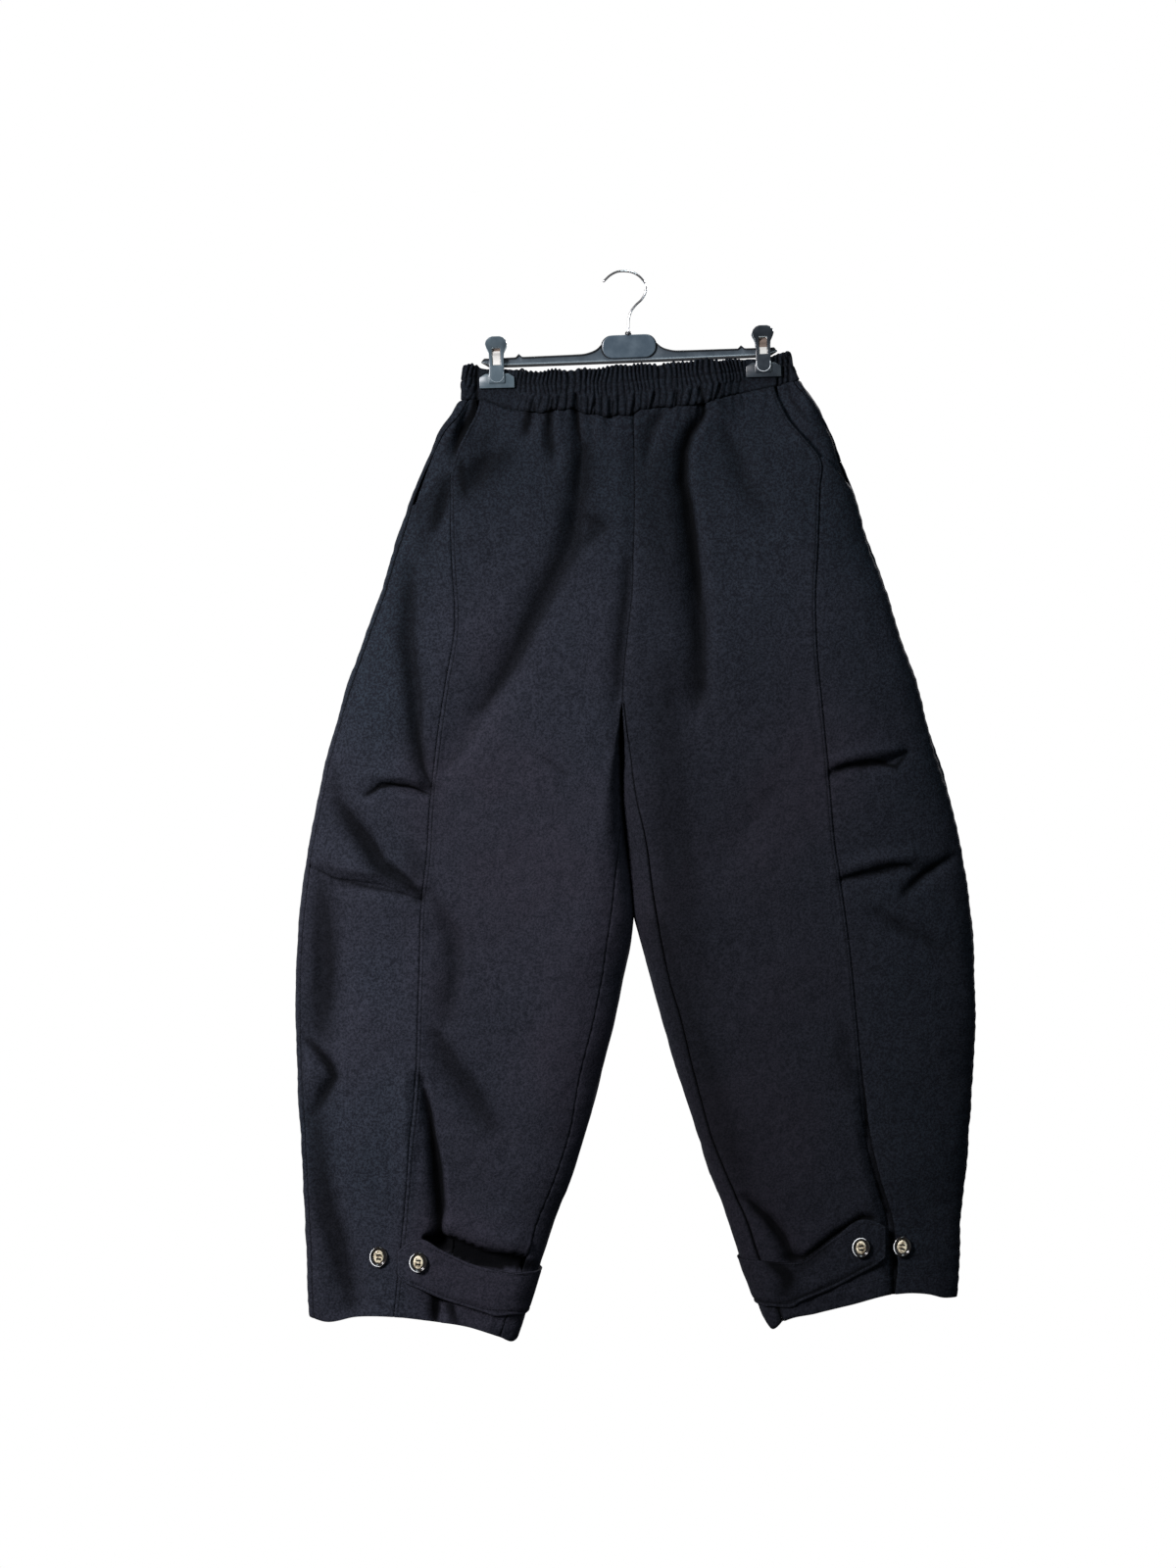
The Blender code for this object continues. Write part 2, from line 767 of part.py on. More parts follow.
def make_leg(leg, look):
    name = leg["name"]
    levels, sampled, bounds = leg_grid(leg)
    points = cloth_points(sampled)
    crotch = levels.index(CROTCH)
    mouth = levels.index(leg["pocket"]["mouth"])
    order = ("side", "middle", "wrap", "rear") if leg["side"] < 0 else ("rear", "wrap", "middle", "side")
    reach = {part: (bounds[k], bounds[k + 1]) for k, part in enumerate(order)}
    normals = ring_normals(points)
    normals[0, :, 2] = 0.0
    normals[0] = unit(normals[0])
    # Above the crotch a half of the body ends in the plane of its centre seams.
    if leg["side"] < 0:
        ends = ((reach["middle"][1], -1), (reach["rear"][0], 1))
    else:
        ends = ((reach["middle"][0], 1), (reach["rear"][1], -1))
    for column, step in ends:
        normals[:crotch, column] = end_normals(points, column, column + step)[:crotch]
        normals[0, column] = (0.0, np.sign(normals[0, column, 1]), 0.0)

    def panel(part_name, start, end, top=0, keep=None):
        outer = points[top:, start:end + 1]
        normal = normals[top:, start:end + 1]
        outer = tuck_edges(outer, normal, (0, -1))
        return wall(part_name, outer, outer - normal * CLOTH, look, keep)

    panel(f"front_side_{name}", *reach["side"], top=mouth)
    panel(f"front_centre_{name}", *reach["middle"])
    start = min(reach["wrap"][0], reach["rear"][0])
    end = max(reach["wrap"][1], reach["rear"][1])
    keep = np.ones((len(levels) - 1, end - start), bool)
    wrap_first = reach["wrap"][0] - start
    keep[:crotch, wrap_first:wrap_first + WRAP_COLUMNS] = False
    panel(f"back_{name}", start, end, keep=keep)
    make_facing(leg, levels, mouth, look)


def make_facing(leg, levels, mouth, look):
    """The pocket's facing, behind its mouth, from the side seam to under the middle panel."""
    rows = []
    for nominal in levels[:mouth + 2]:
        points, place, marks = leg_level(leg, nominal)
        under = FACING_UNDER * smoothstep((nominal - WAIST) / 50.0) - 3.0
        if leg["side"] < 0:
            wanted = spread(marks["outseam"] + 2.0, marks["seam"] + under, FACING_COLUMNS)
        else:
            wanted = spread(marks["seam"] - under, marks["outseam"] - 2.0, FACING_COLUMNS)
        wanted = np.concatenate([wanted[:1] - 8.0, wanted, wanted[-1:] + 8.0])
        rows.append(sample(points, place, wanted))
    sampled = np.array(rows)
    points = cloth_points(sampled)
    normals = grid_normals(points)[:, 1:-1]
    sampled = sampled[:, 1:-1]
    points = points[:, 1:-1]
    x, drop = sampled[..., 0], sampled[..., 2]
    seam = curve(leg["outline"], drop, 2)
    beside = (x - seam) * leg["side"]
    tuck = CLOTH + GAP + (POCKET_TUCK - CLOTH - GAP) * (1.0 - smoothstep(beside / 16.0))
    lower = smoothstep((drop - leg["pocket"]["mouth"] + 30.0) / 30.0)
    tuck = np.maximum(tuck, CLOTH + GAP + (POCKET_TUCK - CLOTH - GAP) * lower)
    open_part = smoothstep((drop - 138.0) / 20.0) * (1.0 - smoothstep((drop - 182.0) / 24.0))
    gape = leg["pocket"]["gape"] * open_part * np.exp(-((beside - 5.0) / 9.0) ** 2)
    tuck = tuck + np.minimum(gape, np.maximum(np.abs(sampled[..., 1]) - 5.0, 0.0))
    tuck[0] = np.minimum(tuck[0], np.abs(sampled[0, :, 1]) - CLOTH - GAP)
    outer = points - normals * tuck[..., None]
    outer[0, :, 2] -= FACING_TOP
    wall(f"pocket_facing_{leg['name']}", outer, outer - normals * CLOTH, look)


def make_tab(leg, rows, look):
    """A hem tab: it lies on the front, turns round the inner edge and is sewn down on the back."""
    outer = []
    inner = []
    turn_top, turn_bottom = TAB_TURN[leg["name"]]
    turned = tuple((reach, turn_top - up, turn_bottom - up) for reach, up in TAB_BACK)
    for k, (where, top, bottom) in enumerate(rows + turned):
        line_out = []
        line_in = []
        for share in (0.0, 0.34, 0.67, 1.0):
            drop = top + (bottom - top) * share
            if k < len(rows):
                row, normal = on_leg(leg, drop, x=where)
            else:
                row, normal = on_leg(leg, drop, reach=where)
            line_out.append(row + normal * (TAB_LIFT + TAB))
            line_in.append(row + normal * TAB_LIFT)
        outer.append(line_out)
        inner.append(line_in)
    outer = np.array(outer).transpose(1, 0, 2)
    inner = np.array(inner).transpose(1, 0, 2)
    if leg["side"] > 0:
        outer = outer[:, ::-1]
        inner = inner[:, ::-1]
    return wall(f"strap_{leg['name']}", outer, inner, look)


def on_leg(leg, drop, x=None, reach=None):
    """A place on a leg with no folds, and the way out of the cloth there.

    It is given by its drop and its x on the front, or its reach round the inner edge to the back."""
    nominal = drop
    for _ in range(5):
        points, place, marks = leg_level(leg, nominal)
        if reach is None:
            turn = (len(points) + 1) // 2
            at = np.interp(x, points[:turn, 0], place[:turn])
        else:
            at = marks["edge"] - leg["side"] * reach
        before, here, after = sample(points, place, np.array([at - 1.5, at, at + 1.5]))
        nominal += drop - here[2]
    way = after - before
    normal = np.array([way[1], -way[0], 0.0]) / np.hypot(way[0], way[1])
    return np.array([here[0], here[1], -here[2]]), normal


def waist_line(legs, front):
    """The top edges of the panels, as rising x and their drops."""
    edges = []
    for leg in legs.values():
        _, sampled, _ = leg_grid(leg)
        top = sampled[0]
        for here, after in zip(top[:-1], top[1:]):
            if here[1] * after[1] < 0.0:
                share = here[1] / (here[1] - after[1])
                edges.append(here + (after - here) * share)
            if (here[1] <= 0.0) == front:
                edges.append(here)
    edge = np.array(sorted(edges, key=lambda place: place[0]))
    return edge[:, 0], edge[:, 2]


def make_band(name, legs, front, look):
    """Half of the waistband: gathers stand proud of a plain inside."""
    edge_x, edge_drop = waist_line(legs, front)
    columns = 2 * GATHERS
    heights = (0.0, 0.32, 0.66, 1.0)
    rises = (0.75, 0.45, 1.0, 0.5)
    outer = []
    inner = []
    for height, rise in zip(heights, rises):
        x0 = np.interp(height, (0.0, 0.3, 1.0), (-168.0, -171.5, -173.0))
        x1 = np.interp(height, (0.0, 0.3, 1.0), (175.0, 178.5, 186.0))

        def drop_at(x, share=height):
            low = np.interp(x, edge_x, edge_drop) - GAP
            low -= TIP_RISE * smoothstep((np.abs(x - 6.0) - 165.0) / 10.0)
            return curve(WAIST_TOP, x) * (1.0 - share) + low * share

        ends = np.array([x0, x1])
        round0, round1 = half_depth(ends, drop_at(ends))
        points, turn = section(x0, x1, round0, round1, drop_at)
        place = along(points)
        first = np.interp(BAND_SEAMS[0], points[:turn, 0], place[:turn])
        last = np.interp(BAND_SEAMS[1], points[:turn, 0], place[:turn])
        if front:
            wanted = spread(first + GAP / 2, last - GAP / 2, columns)
        else:
            wanted = spread(last + GAP / 2, place[-1] + first - GAP / 2, columns)
        ahead = sample(points, place, wanted + 0.8)
        behind = sample(points, place, wanted - 0.8)
        row = sample(points, place, wanted)
        row[:, 2] = drop_at(row[:, 0])
        way = ahead[:, :2] - behind[:, :2]
        normal = np.stack([way[:, 1], -way[:, 0]], 1) / np.linalg.norm(way, axis=1)[:, None]
        normal = np.concatenate([normal, np.zeros((len(row), 1))], 1)
        base = np.stack([row[:, 0], row[:, 1], -row[:, 2]], 1)
        lift = GATHER_RISE * rise * (np.arange(columns + 1) % 2)
        uneven = 0.75 + 0.25 * np.sin(np.arange(columns + 1) * 2.4 + 5.0 * height)
        flat = np.ones(columns + 1)
        for head_x, _, _ in CLIPS.values():
            away = np.abs(row[:, 0] - head_x - 1.0) - JAW_HALF_WIDTH
            flat = np.minimum(flat, 0.2 + 0.8 * smoothstep((away - 1.0) / 8.0))
        outer.append(base + normal * (lift * uneven * flat)[:, None])
        inner.append(base - normal * BAND)
    return ribbed_wall(name, np.array(outer), inner[0], inner[-1], look)


def bar_body(look):
    """The bar: two flanges and a thin web, swelling up to the plaque in the middle."""
    rows = np.array(BAR_ROWS)
    xs, top, bottom = rows.T
    flange = np.minimum(1.5, (top - bottom) * 0.3)
    levels = (
        # height, half depth
        (top, BAR_FLANGE),
        (top - flange, BAR_FLANGE),
        (top - flange - 0.2, BAR_WEB),
        (bottom + flange + 0.2, BAR_WEB),
        (bottom + flange, BAR_FLANGE),
        (bottom, BAR_FLANGE),
    )
    front = np.array([np.stack([xs, np.full(len(xs), -depth), height], 1) for height, depth in levels])
    rear = front * np.array([1.0, -1.0, 1.0])
    return wall("hanger_bar", front, rear, look, smooth=False)


def prism(name, outline, half_depth_mm, bevel):
    """A plate standing in the XZ plane, its outline given in millimetres."""
    count = len(outline)
    places = [(x * MM, y * MM, z * MM) for y in (-half_depth_mm, half_depth_mm) for x, z in outline]
    faces = [tuple(range(count)), tuple(range(2 * count - 1, count - 1, -1))]
    faces += [(k, k + count, (k + 1) % count + count, (k + 1) % count) for k in range(count)]
    mesh = bpy.data.meshes.new(name)
    mesh.from_pydata(places, [], faces)
    made = bpy.data.objects.new(name, mesh)
    bpy.context.collection.objects.link(made)
    rounding = made.modifiers.new("rounding", "BEVEL")
    rounding.width = bevel * MM
    rounding.segments = 1
    rounding.limit_method = "ANGLE"
    rounding.angle_limit = math.radians(60)
    return made


def rounded_outline(half_width, low, high, corner, steps):
    """An oval with flat top and bottom, counter-clockwise seen from the front."""
    points = []
    for centre_x, centre_z, start in (
        (half_width - corner, low + corner, -90),
        (half_width - corner, high - corner, 0),
        (corner - half_width, high - corner, 90),
        (corner - half_width, low + corner, 180),
    ):
        for k in range(steps + 1):
            angle = math.radians(start + 90.0 * k / steps)
            points.append((centre_x + corner * math.cos(angle), centre_z + corner * math.sin(angle)))
    return points


def cylinder(name, radius, low, high, sides):
    """An upright cylinder on the local Z axis."""
    places = []
    for z in (low, high):
        for k in range(sides):
            angle = 2.0 * math.pi * k / sides
            places.append((radius * math.cos(angle) * MM, radius * math.sin(angle) * MM, z * MM))
    faces = [tuple(reversed(range(sides))), tuple(range(sides, 2 * sides))]
    faces += [(k, (k + 1) % sides, (k + 1) % sides + sides, k + sides) for k in range(sides)]
    mesh = bpy.data.meshes.new(name)
    mesh.from_pydata(places, [], faces)
    made = bpy.data.objects.new(name, mesh)
    bpy.context.collection.objects.link(made)
    return made


def boolean(target, tool, operation):
    change = target.modifiers.new(tool.name, "BOOLEAN")
    change.operation = operation
    change.solver = "EXACT"
    change.object = tool
    tool.hide_render = True
    tool.display_type = "WIRE"


def make_hanger(hanger, plastic, chrome):
    bar = bar_body(plastic)
    plaque = prism("plaque_form", rounded_outline(PLAQUE["half_width"], PLAQUE["low"], PLAQUE["high"],
                                                  PLAQUE["corner"], 3), PLAQUE["half_depth"], 0.8)
    collar = cylinder("collar_form", COLLAR["radius"], PLAQUE["high"] - 2.0,
                      PLAQUE["high"] + COLLAR["height"], 12)
    socket = cylinder("socket_form", SOCKET_RADIUS, PLAQUE["high"] + COLLAR["height"] - SOCKET_DEPTH,
                      PLAQUE["high"] + COLLAR["height"] + 5.0, 12)
    for tool, operation in ((plaque, "UNION"), (collar, "UNION"), (socket, "DIFFERENCE")):
        boolean(bar, tool, operation)
        tool.parent = bar
    # The collar and its socket stand upright on the tilted bar.
    for tool in (collar, socket):
        tool.location.x = -PLAQUE["high"] * math.tan(TILT) * MM
        tool.rotation_euler = (0.0, TILT, 0.0)
    bar.parent = hanger
    bar.location = (BAR_MIDDLE[0] * MM, 0.0, -BAR_MIDDLE[1] * MM)
    bar.rotation_euler = (0.0, -TILT, 0.0)

    stem = BAR_MIDDLE[0] - PLAQUE["high"] * math.sin(TILT)
    route = np.array(HOOK_ROUTE + ((stem, 58.0), (stem, 66.0), (stem, HOOK_FOOT)), float)
    place = np.concatenate([[0.0], np.cumsum(np.linalg.norm(np.diff(route, axis=0), axis=1))])
    rows_x = [(s, x) for s, (x, _) in zip(place, route)]
    rows_drop = [(s, d) for s, (_, d) in zip(place, route)]
    steps = np.linspace(0.0, place[-1], 28)
    wire = bpy.data.curves.new("hanger_hook", "CURVE")
    wire.dimensions = "3D"
    wire.bevel_depth = WIRE_RADIUS * MM
    wire.bevel_resolution = 2
    wire.use_fill_caps = True
    wire.materials.append(chrome)
    line = wire.splines.new("POLY")
    line.points.add(len(steps) - 1)
    for point, x, drop in zip(line.points, curve(rows_x, steps), curve(rows_drop, steps)):
        point.co = (x * MM, 0.0, -drop * MM, 1.0)
    hook = bpy.data.objects.new("hanger_hook", wire)
    bpy.context.collection.objects.link(hook)
    hook.parent = hanger


def lever(name, face, look):
    """One lever of a clip with its jaw plate. face is -1 at the front and 1 at the back."""
    rows = LEVER_ROWS
    outer = []
    for down, half, inner_face in rows:
        jaw = down >= JAW_FROM
        wide = JAW_HALF_WIDTH if down > JAW_FROM else JAW_HALF_WIDTH - 6.5
        tongue = LEVER_THICK + (TONGUE_PROUD if down < 49.0 else 0.0)
        plate = LEVER_THICK
        step = half + 0.7
        xs = (-wide, -step, -half, -WINDOW_HALF, WINDOW_HALF, half, step, wide)
        if not jaw:
            window = min(WINDOW_HALF, half * 0.6)
            xs = (-half - 2, -half - 1, -half, -window, window, half, half + 1, half + 2)
        depths = (plate, plate, tongue, tongue, tongue, tongue, plate, plate)
        outer.append([(x, face * (inner_face + depth), -down) for x, depth in zip(xs, depths)])
    outer = np.array(outer, float)
    inner = outer.copy()
    inner[..., 1] = face * np.array([row[2] for row in rows])[:, None]
    keep = np.ones((len(rows) - 1, 7), bool)
    for k in range(len(rows) - 1):
        top, bottom = rows[k][0], rows[k + 1][0]
        if top < JAW_FROM:
            keep[k, (0, 1, 5, 6)] = False
        if top >= WINDOW[0] and bottom <= WINDOW[1]:
            keep[k, 3] = False
    if face > 0:
        outer, inner, keep = outer[:, ::-1], inner[:, ::-1], keep[:, ::-1]
    return wall(name, outer, inner, look, keep, smooth=False)


def spring(name, look):
    """The steel strip that bends over from one lever's window to the other's."""
    half = [(-y, -down) for y, down in SPRING_ROUTE]
    route = np.array(half + [(-y, z) for y, z in reversed(half[:-1])])
    way = np.gradient(route, axis=0)
    normal = np.stack([-way[:, 1], way[:, 0]], 1) / np.linalg.norm(way, axis=1)[:, None]
    outer = []
    inner = []
    for (y, z), (ny, nz) in zip(route, normal):
        outer.append([(x, y + ny * SPRING_THICK / 2, z + nz * SPRING_THICK / 2)
                      for x in (-SPRING_HALF, SPRING_HALF)])
        inner.append([(x, y - ny * SPRING_THICK / 2, z - nz * SPRING_THICK / 2)
                      for x in (-SPRING_HALF, SPRING_HALF)])
    outer = np.array(outer)[::-1]
    inner = np.array(inner)[::-1]
    return wall(name, outer, inner, look)


def make_clips(hanger, plastic, steel):
    for side, (head_x, head_drop, _) in CLIPS.items():
        holder = bpy.data.objects.new(f"clip_{side}", None)
        bpy.context.collection.objects.link(holder)
        holder.location = (head_x * MM, 0.0, -head_drop * MM)
        holder.rotation_euler = (0.0, -CLIP_TILT, 0.0)
        holder.parent = hanger
        for piece in (
            lever(f"clip_{side}_front", -1, plastic),
            lever(f"clip_{side}_back", 1, plastic),
            spring(f"clip_{side}_spring", steel),
        ):
            piece.parent = holder


def make_buttons(legs, look):
    """Dished buttons, each turned to lie flat on what it is sewn to."""
    angles = np.linspace(0.0, 2.0 * math.pi, BUTTON_SIDES, endpoint=False)
    rings = [[(r * math.cos(a), r * math.sin(a), z) for a in angles] for r, z in BUTTON_PROFILE]
    places = [tuple(v * MM for v in point) for ring in rings for point in ring]
    n = BUTTON_SIDES
    faces = [tuple(reversed(range(n)))]
    for k in range(len(rings) - 1):
        faces += [(k * n + j, k * n + (j + 1) % n, (k + 1) * n + (j + 1) % n, (k + 1) * n + j)
                  for j in range(n)]
    faces.append(tuple(range((len(rings) - 1) * n, len(rings) * n)))
    mesh = bpy.data.meshes.new("button")
    mesh.from_pydata(places, [], faces)
    mesh.materials.append(look)
    mesh.shade_smooth()
    mesh.set_sharp_from_angle(angle=math.radians(40))
    for name, (x, drop) in BUTTONS.items():
        leg = legs["left" if "left" in name else "right"]
        on, normal = on_leg(leg, drop, x=x)
        under = TAB_LIFT + TAB if "strap" in name else 0.0
        seat = on + normal * (under + GAP + BUTTON_REST)
        button = bpy.data.objects.new(name, mesh)
        bpy.context.collection.objects.link(button)
        button.location = tuple(v * MM for v in seat)
        button.rotation_euler = (math.radians(90.0), 0.0, math.atan2(normal[0], -normal[1]))


def main():
    clear_scene()
    cloth = material("black_knit", CLOTH_BLACK, 0.92)
    plastic = material("slate_plastic", PLASTIC, 0.28)
    chrome = material("chrome_wire", CHROME, 0.18, 1.0)
    steel = material("spring_steel", STEEL, 0.25, 1.0)
    horn = material("horn_button", HORN, 0.3)
    hanger = bpy.data.objects.new("hanger", None)
    bpy.context.collection.objects.link(hanger)
    legs = {
        "left": {"name": "left", "side": -1, "outline": LEFT_OUTLINE, "inner": LEFT_INNER,
                 "hem": LEFT_HEM, "pocket": LEFT_POCKET, "outseam_inset": 5.0},
        "right": {"name": "right", "side": 1, "outline": RIGHT_OUTLINE, "inner": RIGHT_INNER,
                  "hem": RIGHT_HEM, "pocket": RIGHT_POCKET, "outseam_inset": 0.5},
    }
    make_band("waistband_front", legs, True, cloth)
    make_band("waistband_back", legs, False, cloth)
    for leg in legs.values():
        make_leg(leg, cloth)
    make_tab(legs["left"], LEFT_TAB, cloth)
    make_tab(legs["right"], RIGHT_TAB, cloth)
    make_buttons(legs, horn)
    make_hanger(hanger, plastic, chrome)
    make_clips(hanger, plastic, steel)


main()
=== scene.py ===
"""Barrel leg trousers on a clip hanger: what is seen of them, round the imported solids.

Lengths in the tables are millimetres, and a drop is how far a place lies below the origin, which is
the inside top of the hook. The front faces -Y, and left and right are the viewer's.
"""

import math

import bmesh
import bpy
import numpy as np
from mathutils import Matrix, Vector
from mathutils.bvhtree import BVHTree


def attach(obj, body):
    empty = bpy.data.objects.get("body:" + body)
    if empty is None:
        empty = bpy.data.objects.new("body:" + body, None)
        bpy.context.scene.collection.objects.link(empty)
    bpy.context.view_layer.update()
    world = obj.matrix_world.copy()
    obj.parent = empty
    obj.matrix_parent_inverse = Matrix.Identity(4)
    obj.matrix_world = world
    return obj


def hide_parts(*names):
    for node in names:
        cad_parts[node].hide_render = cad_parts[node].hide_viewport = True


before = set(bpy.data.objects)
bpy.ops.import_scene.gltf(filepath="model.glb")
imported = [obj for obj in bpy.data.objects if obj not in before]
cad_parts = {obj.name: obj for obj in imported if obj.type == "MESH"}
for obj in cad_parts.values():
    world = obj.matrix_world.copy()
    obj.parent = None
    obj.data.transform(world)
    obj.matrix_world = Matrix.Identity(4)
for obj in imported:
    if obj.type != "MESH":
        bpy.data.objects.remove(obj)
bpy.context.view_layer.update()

MM = 0.001

# Cloth
CLOTH = 1.2            # a single layer with its seam allowances
BAND = 2.4             # doubled waistband with its elastic
TAB = 2.6              # doubled cloth of a hem tab
GAP = 0.3
STITCH_IN = 3.7        # the row of stitches beside a seam, from the seam
LAP = 0.2              # how far the halves of the body run into each other in their middle seams
POCKET_TUCK = 3.0      # how deep the pocket facing lies under the panels round it
FACING_UNDER = 22.0    # how far the facing runs on behind the middle panel
TAB_LIFT = 1.0         # clearance of a hem tab from the leg it lies on
TROUGH_CLEAR = 3.0     # no trough comes nearer than this to the middle plane

# Levels, as drops
WAIST = 140.0          # nominal waist seam
CROTCH = 457.0         # where the centre front seam ends and the inseams begin
HEM = 1110.0           # nominal hem
HEM_DEEP = 19.0        # depth of the turned-up hem

GATHER_PITCH = 5.25
WAIST_INSET = 6.0      # how far the back panel turns on to the front beside the waistband

# Hanger
TILT = math.radians(2.24)          # the left end hangs lower
BAR_MIDDLE = (5.3, 90.5)           # x and drop of the middle of the bar
WIRE_RADIUS = 1.2
CLIP_TILT = math.radians(1.5)
JAW_HALF_WIDTH = 18.5
JAW_INNER = 3.3                    # inner face of a closed jaw from the middle plane
PINCHED = 2.7                      # half the depth of the waistband between the jaws

# The outline of the front, in x at each drop. outer is the silhouette, seam is the pocket mouth and,
# under it, the seam between the side and middle panels.
LEFT_OUTLINE = (
    # drop, outer, seam
    (105, -171, -158), (127, -172, -153), (148, -182, -156.5), (168, -196, -166), (189, -205, -176),
    (210, -214, -183), (252, -231, -184), (314, -250, -182), (376, -271, -179), (439, -294, -189),
    (501, -312, -198), (564, -326, -205), (626, -338, -209), (668, -343, -214), (730, -348, -216),
    (792, -349, -218), (855, -347, -220), (917, -343, -226), (980, -340, -231), (1042, -337, -237),
    (1110, -334, -244),
)
RIGHT_OUTLINE = (
    # drop, outer, seam
    (85, 177, 152), (106, 181, 156), (121, 190, 159), (140, 204, 166), (158, 213, 175), (180, 223, 193),
    (198, 229, 207), (231, 242, 207), (285, 259, 205), (345, 280, 202), (397, 297, 203),
    (452, 314, 208), (527, 336, 215), (607, 357, 222), (667, 366, 231), (730, 371, 239),
    (792, 372, 245), (855, 370, 251), (917, 365, 258), (965, 361, 269), (1004, 358, 281),
    (1110, 352, 284),
)
# Below the crotch: inner is the leg's inner silhouette, inseam the seam that shows on the front.
LEFT_INNER = (
    # drop, inner, inseam
    (CROTCH, -3, -4), (522, -3, -5), (564, -2, -5), (587, 0, -4), (647, 7, -10), (683, 10, -14),
    (714, 7, -19), (751, -1, -24), (792, -9, -32), (834, -20, -43), (876, -30, -51), (917, -42, -59),
    (959, -55, -73), (1000, -71, -89), (1042, -86, -103), (1076, -96, -114), (1110, -107, -126),
    (1135, -115, -134),
)
RIGHT_INNER = (
    # drop, inner, inseam
    (CROTCH, -3, -1), (522, -3, 7), (564, -2, 14), (587, 0, 19), (647, 7, 28), (683, 10, 34),
    (714, 18, 39), (751, 28, 47), (792, 39, 59), (834, 51, 69), (876, 65, 80), (917, 79, 92),
    (959, 93, 108), (1000, 107, 127), (1042, 122, 141), (1076, 135, 154), (1110, 149, 167),
    (1125, 156, 172),
)
CENTRE_SEAM = (
    # drop, x
    (85, 9), (300, 9), (345, 7), (376, 4), (410, 0), (CROTCH, -3),
)
SHARP = 0.1            # rounding of a corner that is folded sharp
BODY = (
    # drop, half depth, rounding at the outer edges, rounding at the inner edges
    (85, 10, 7, SHARP), (125, 13, 10, SHARP), (160, 17, 22, SHARP), (200, 21, 50, SHARP),
    (260, 27, 80, SHARP), (376, 32, 100, SHARP), (CROTCH, 34, 105, SHARP), (490, 35, 107, 5),
    (522, 35, 108, 13), (587, 35, 110, 26), (647, 35, 110, 44), (730, 34, 110, 66), (855, 31, 105, 72),
    (980, 27, 90, 60), (1045, 23, 75, 48), (1110, 22, 70, 45),
)
WAIST_SEAM = (
    # x, drop
    (-180, 137), (-148, 136), (-127, 144), (-90, 148), (-56, 145), (-33, 151), (8, 150), (25, 144),
    (46, 143), (86, 138), (118, 130), (159, 121), (190, 113),
)
WAIST_TOP = (
    # x, drop
    (-172, 104), (-164, 99), (-158, 100), (-151, 103), (-130, 103), (-106, 106), (-6, 101), (129, 93),
    (152, 92), (165, 87), (174, 86), (180, 91),
)
LEFT_HEM = (
    # x, drop
    (-334, 1108), (-317, 1112), (-282, 1106), (-246, 1106), (-202, 1111), (-164, 1117), (-131, 1128),
    (-118, 1133), (-105, 1122),
)
RIGHT_HEM = (
    # x, drop
    (145, 1104), (156, 1120), (167, 1112), (204, 1102), (240, 1093), (279, 1083), (305, 1081),
    (324, 1083), (337, 1086.5), (352, 1087),
)
# A pocket mouth runs on along the top of the side panel: mouth is that row's nominal drop at the
# seam, fall how much lower it meets the silhouette, gape how far the facing sinks behind the mouth.
LEFT_POCKET = {"mouth": 214.0, "fall": 37.0, "gape": 7.0}
RIGHT_POCKET = {"mouth": 205.0, "fall": 31.0, "gape": 3.0}

FOLD_LEAN = 0.25       # where a fold's own lean isn't given
FOLD_POWER = 1.7       # how steep its flanks are

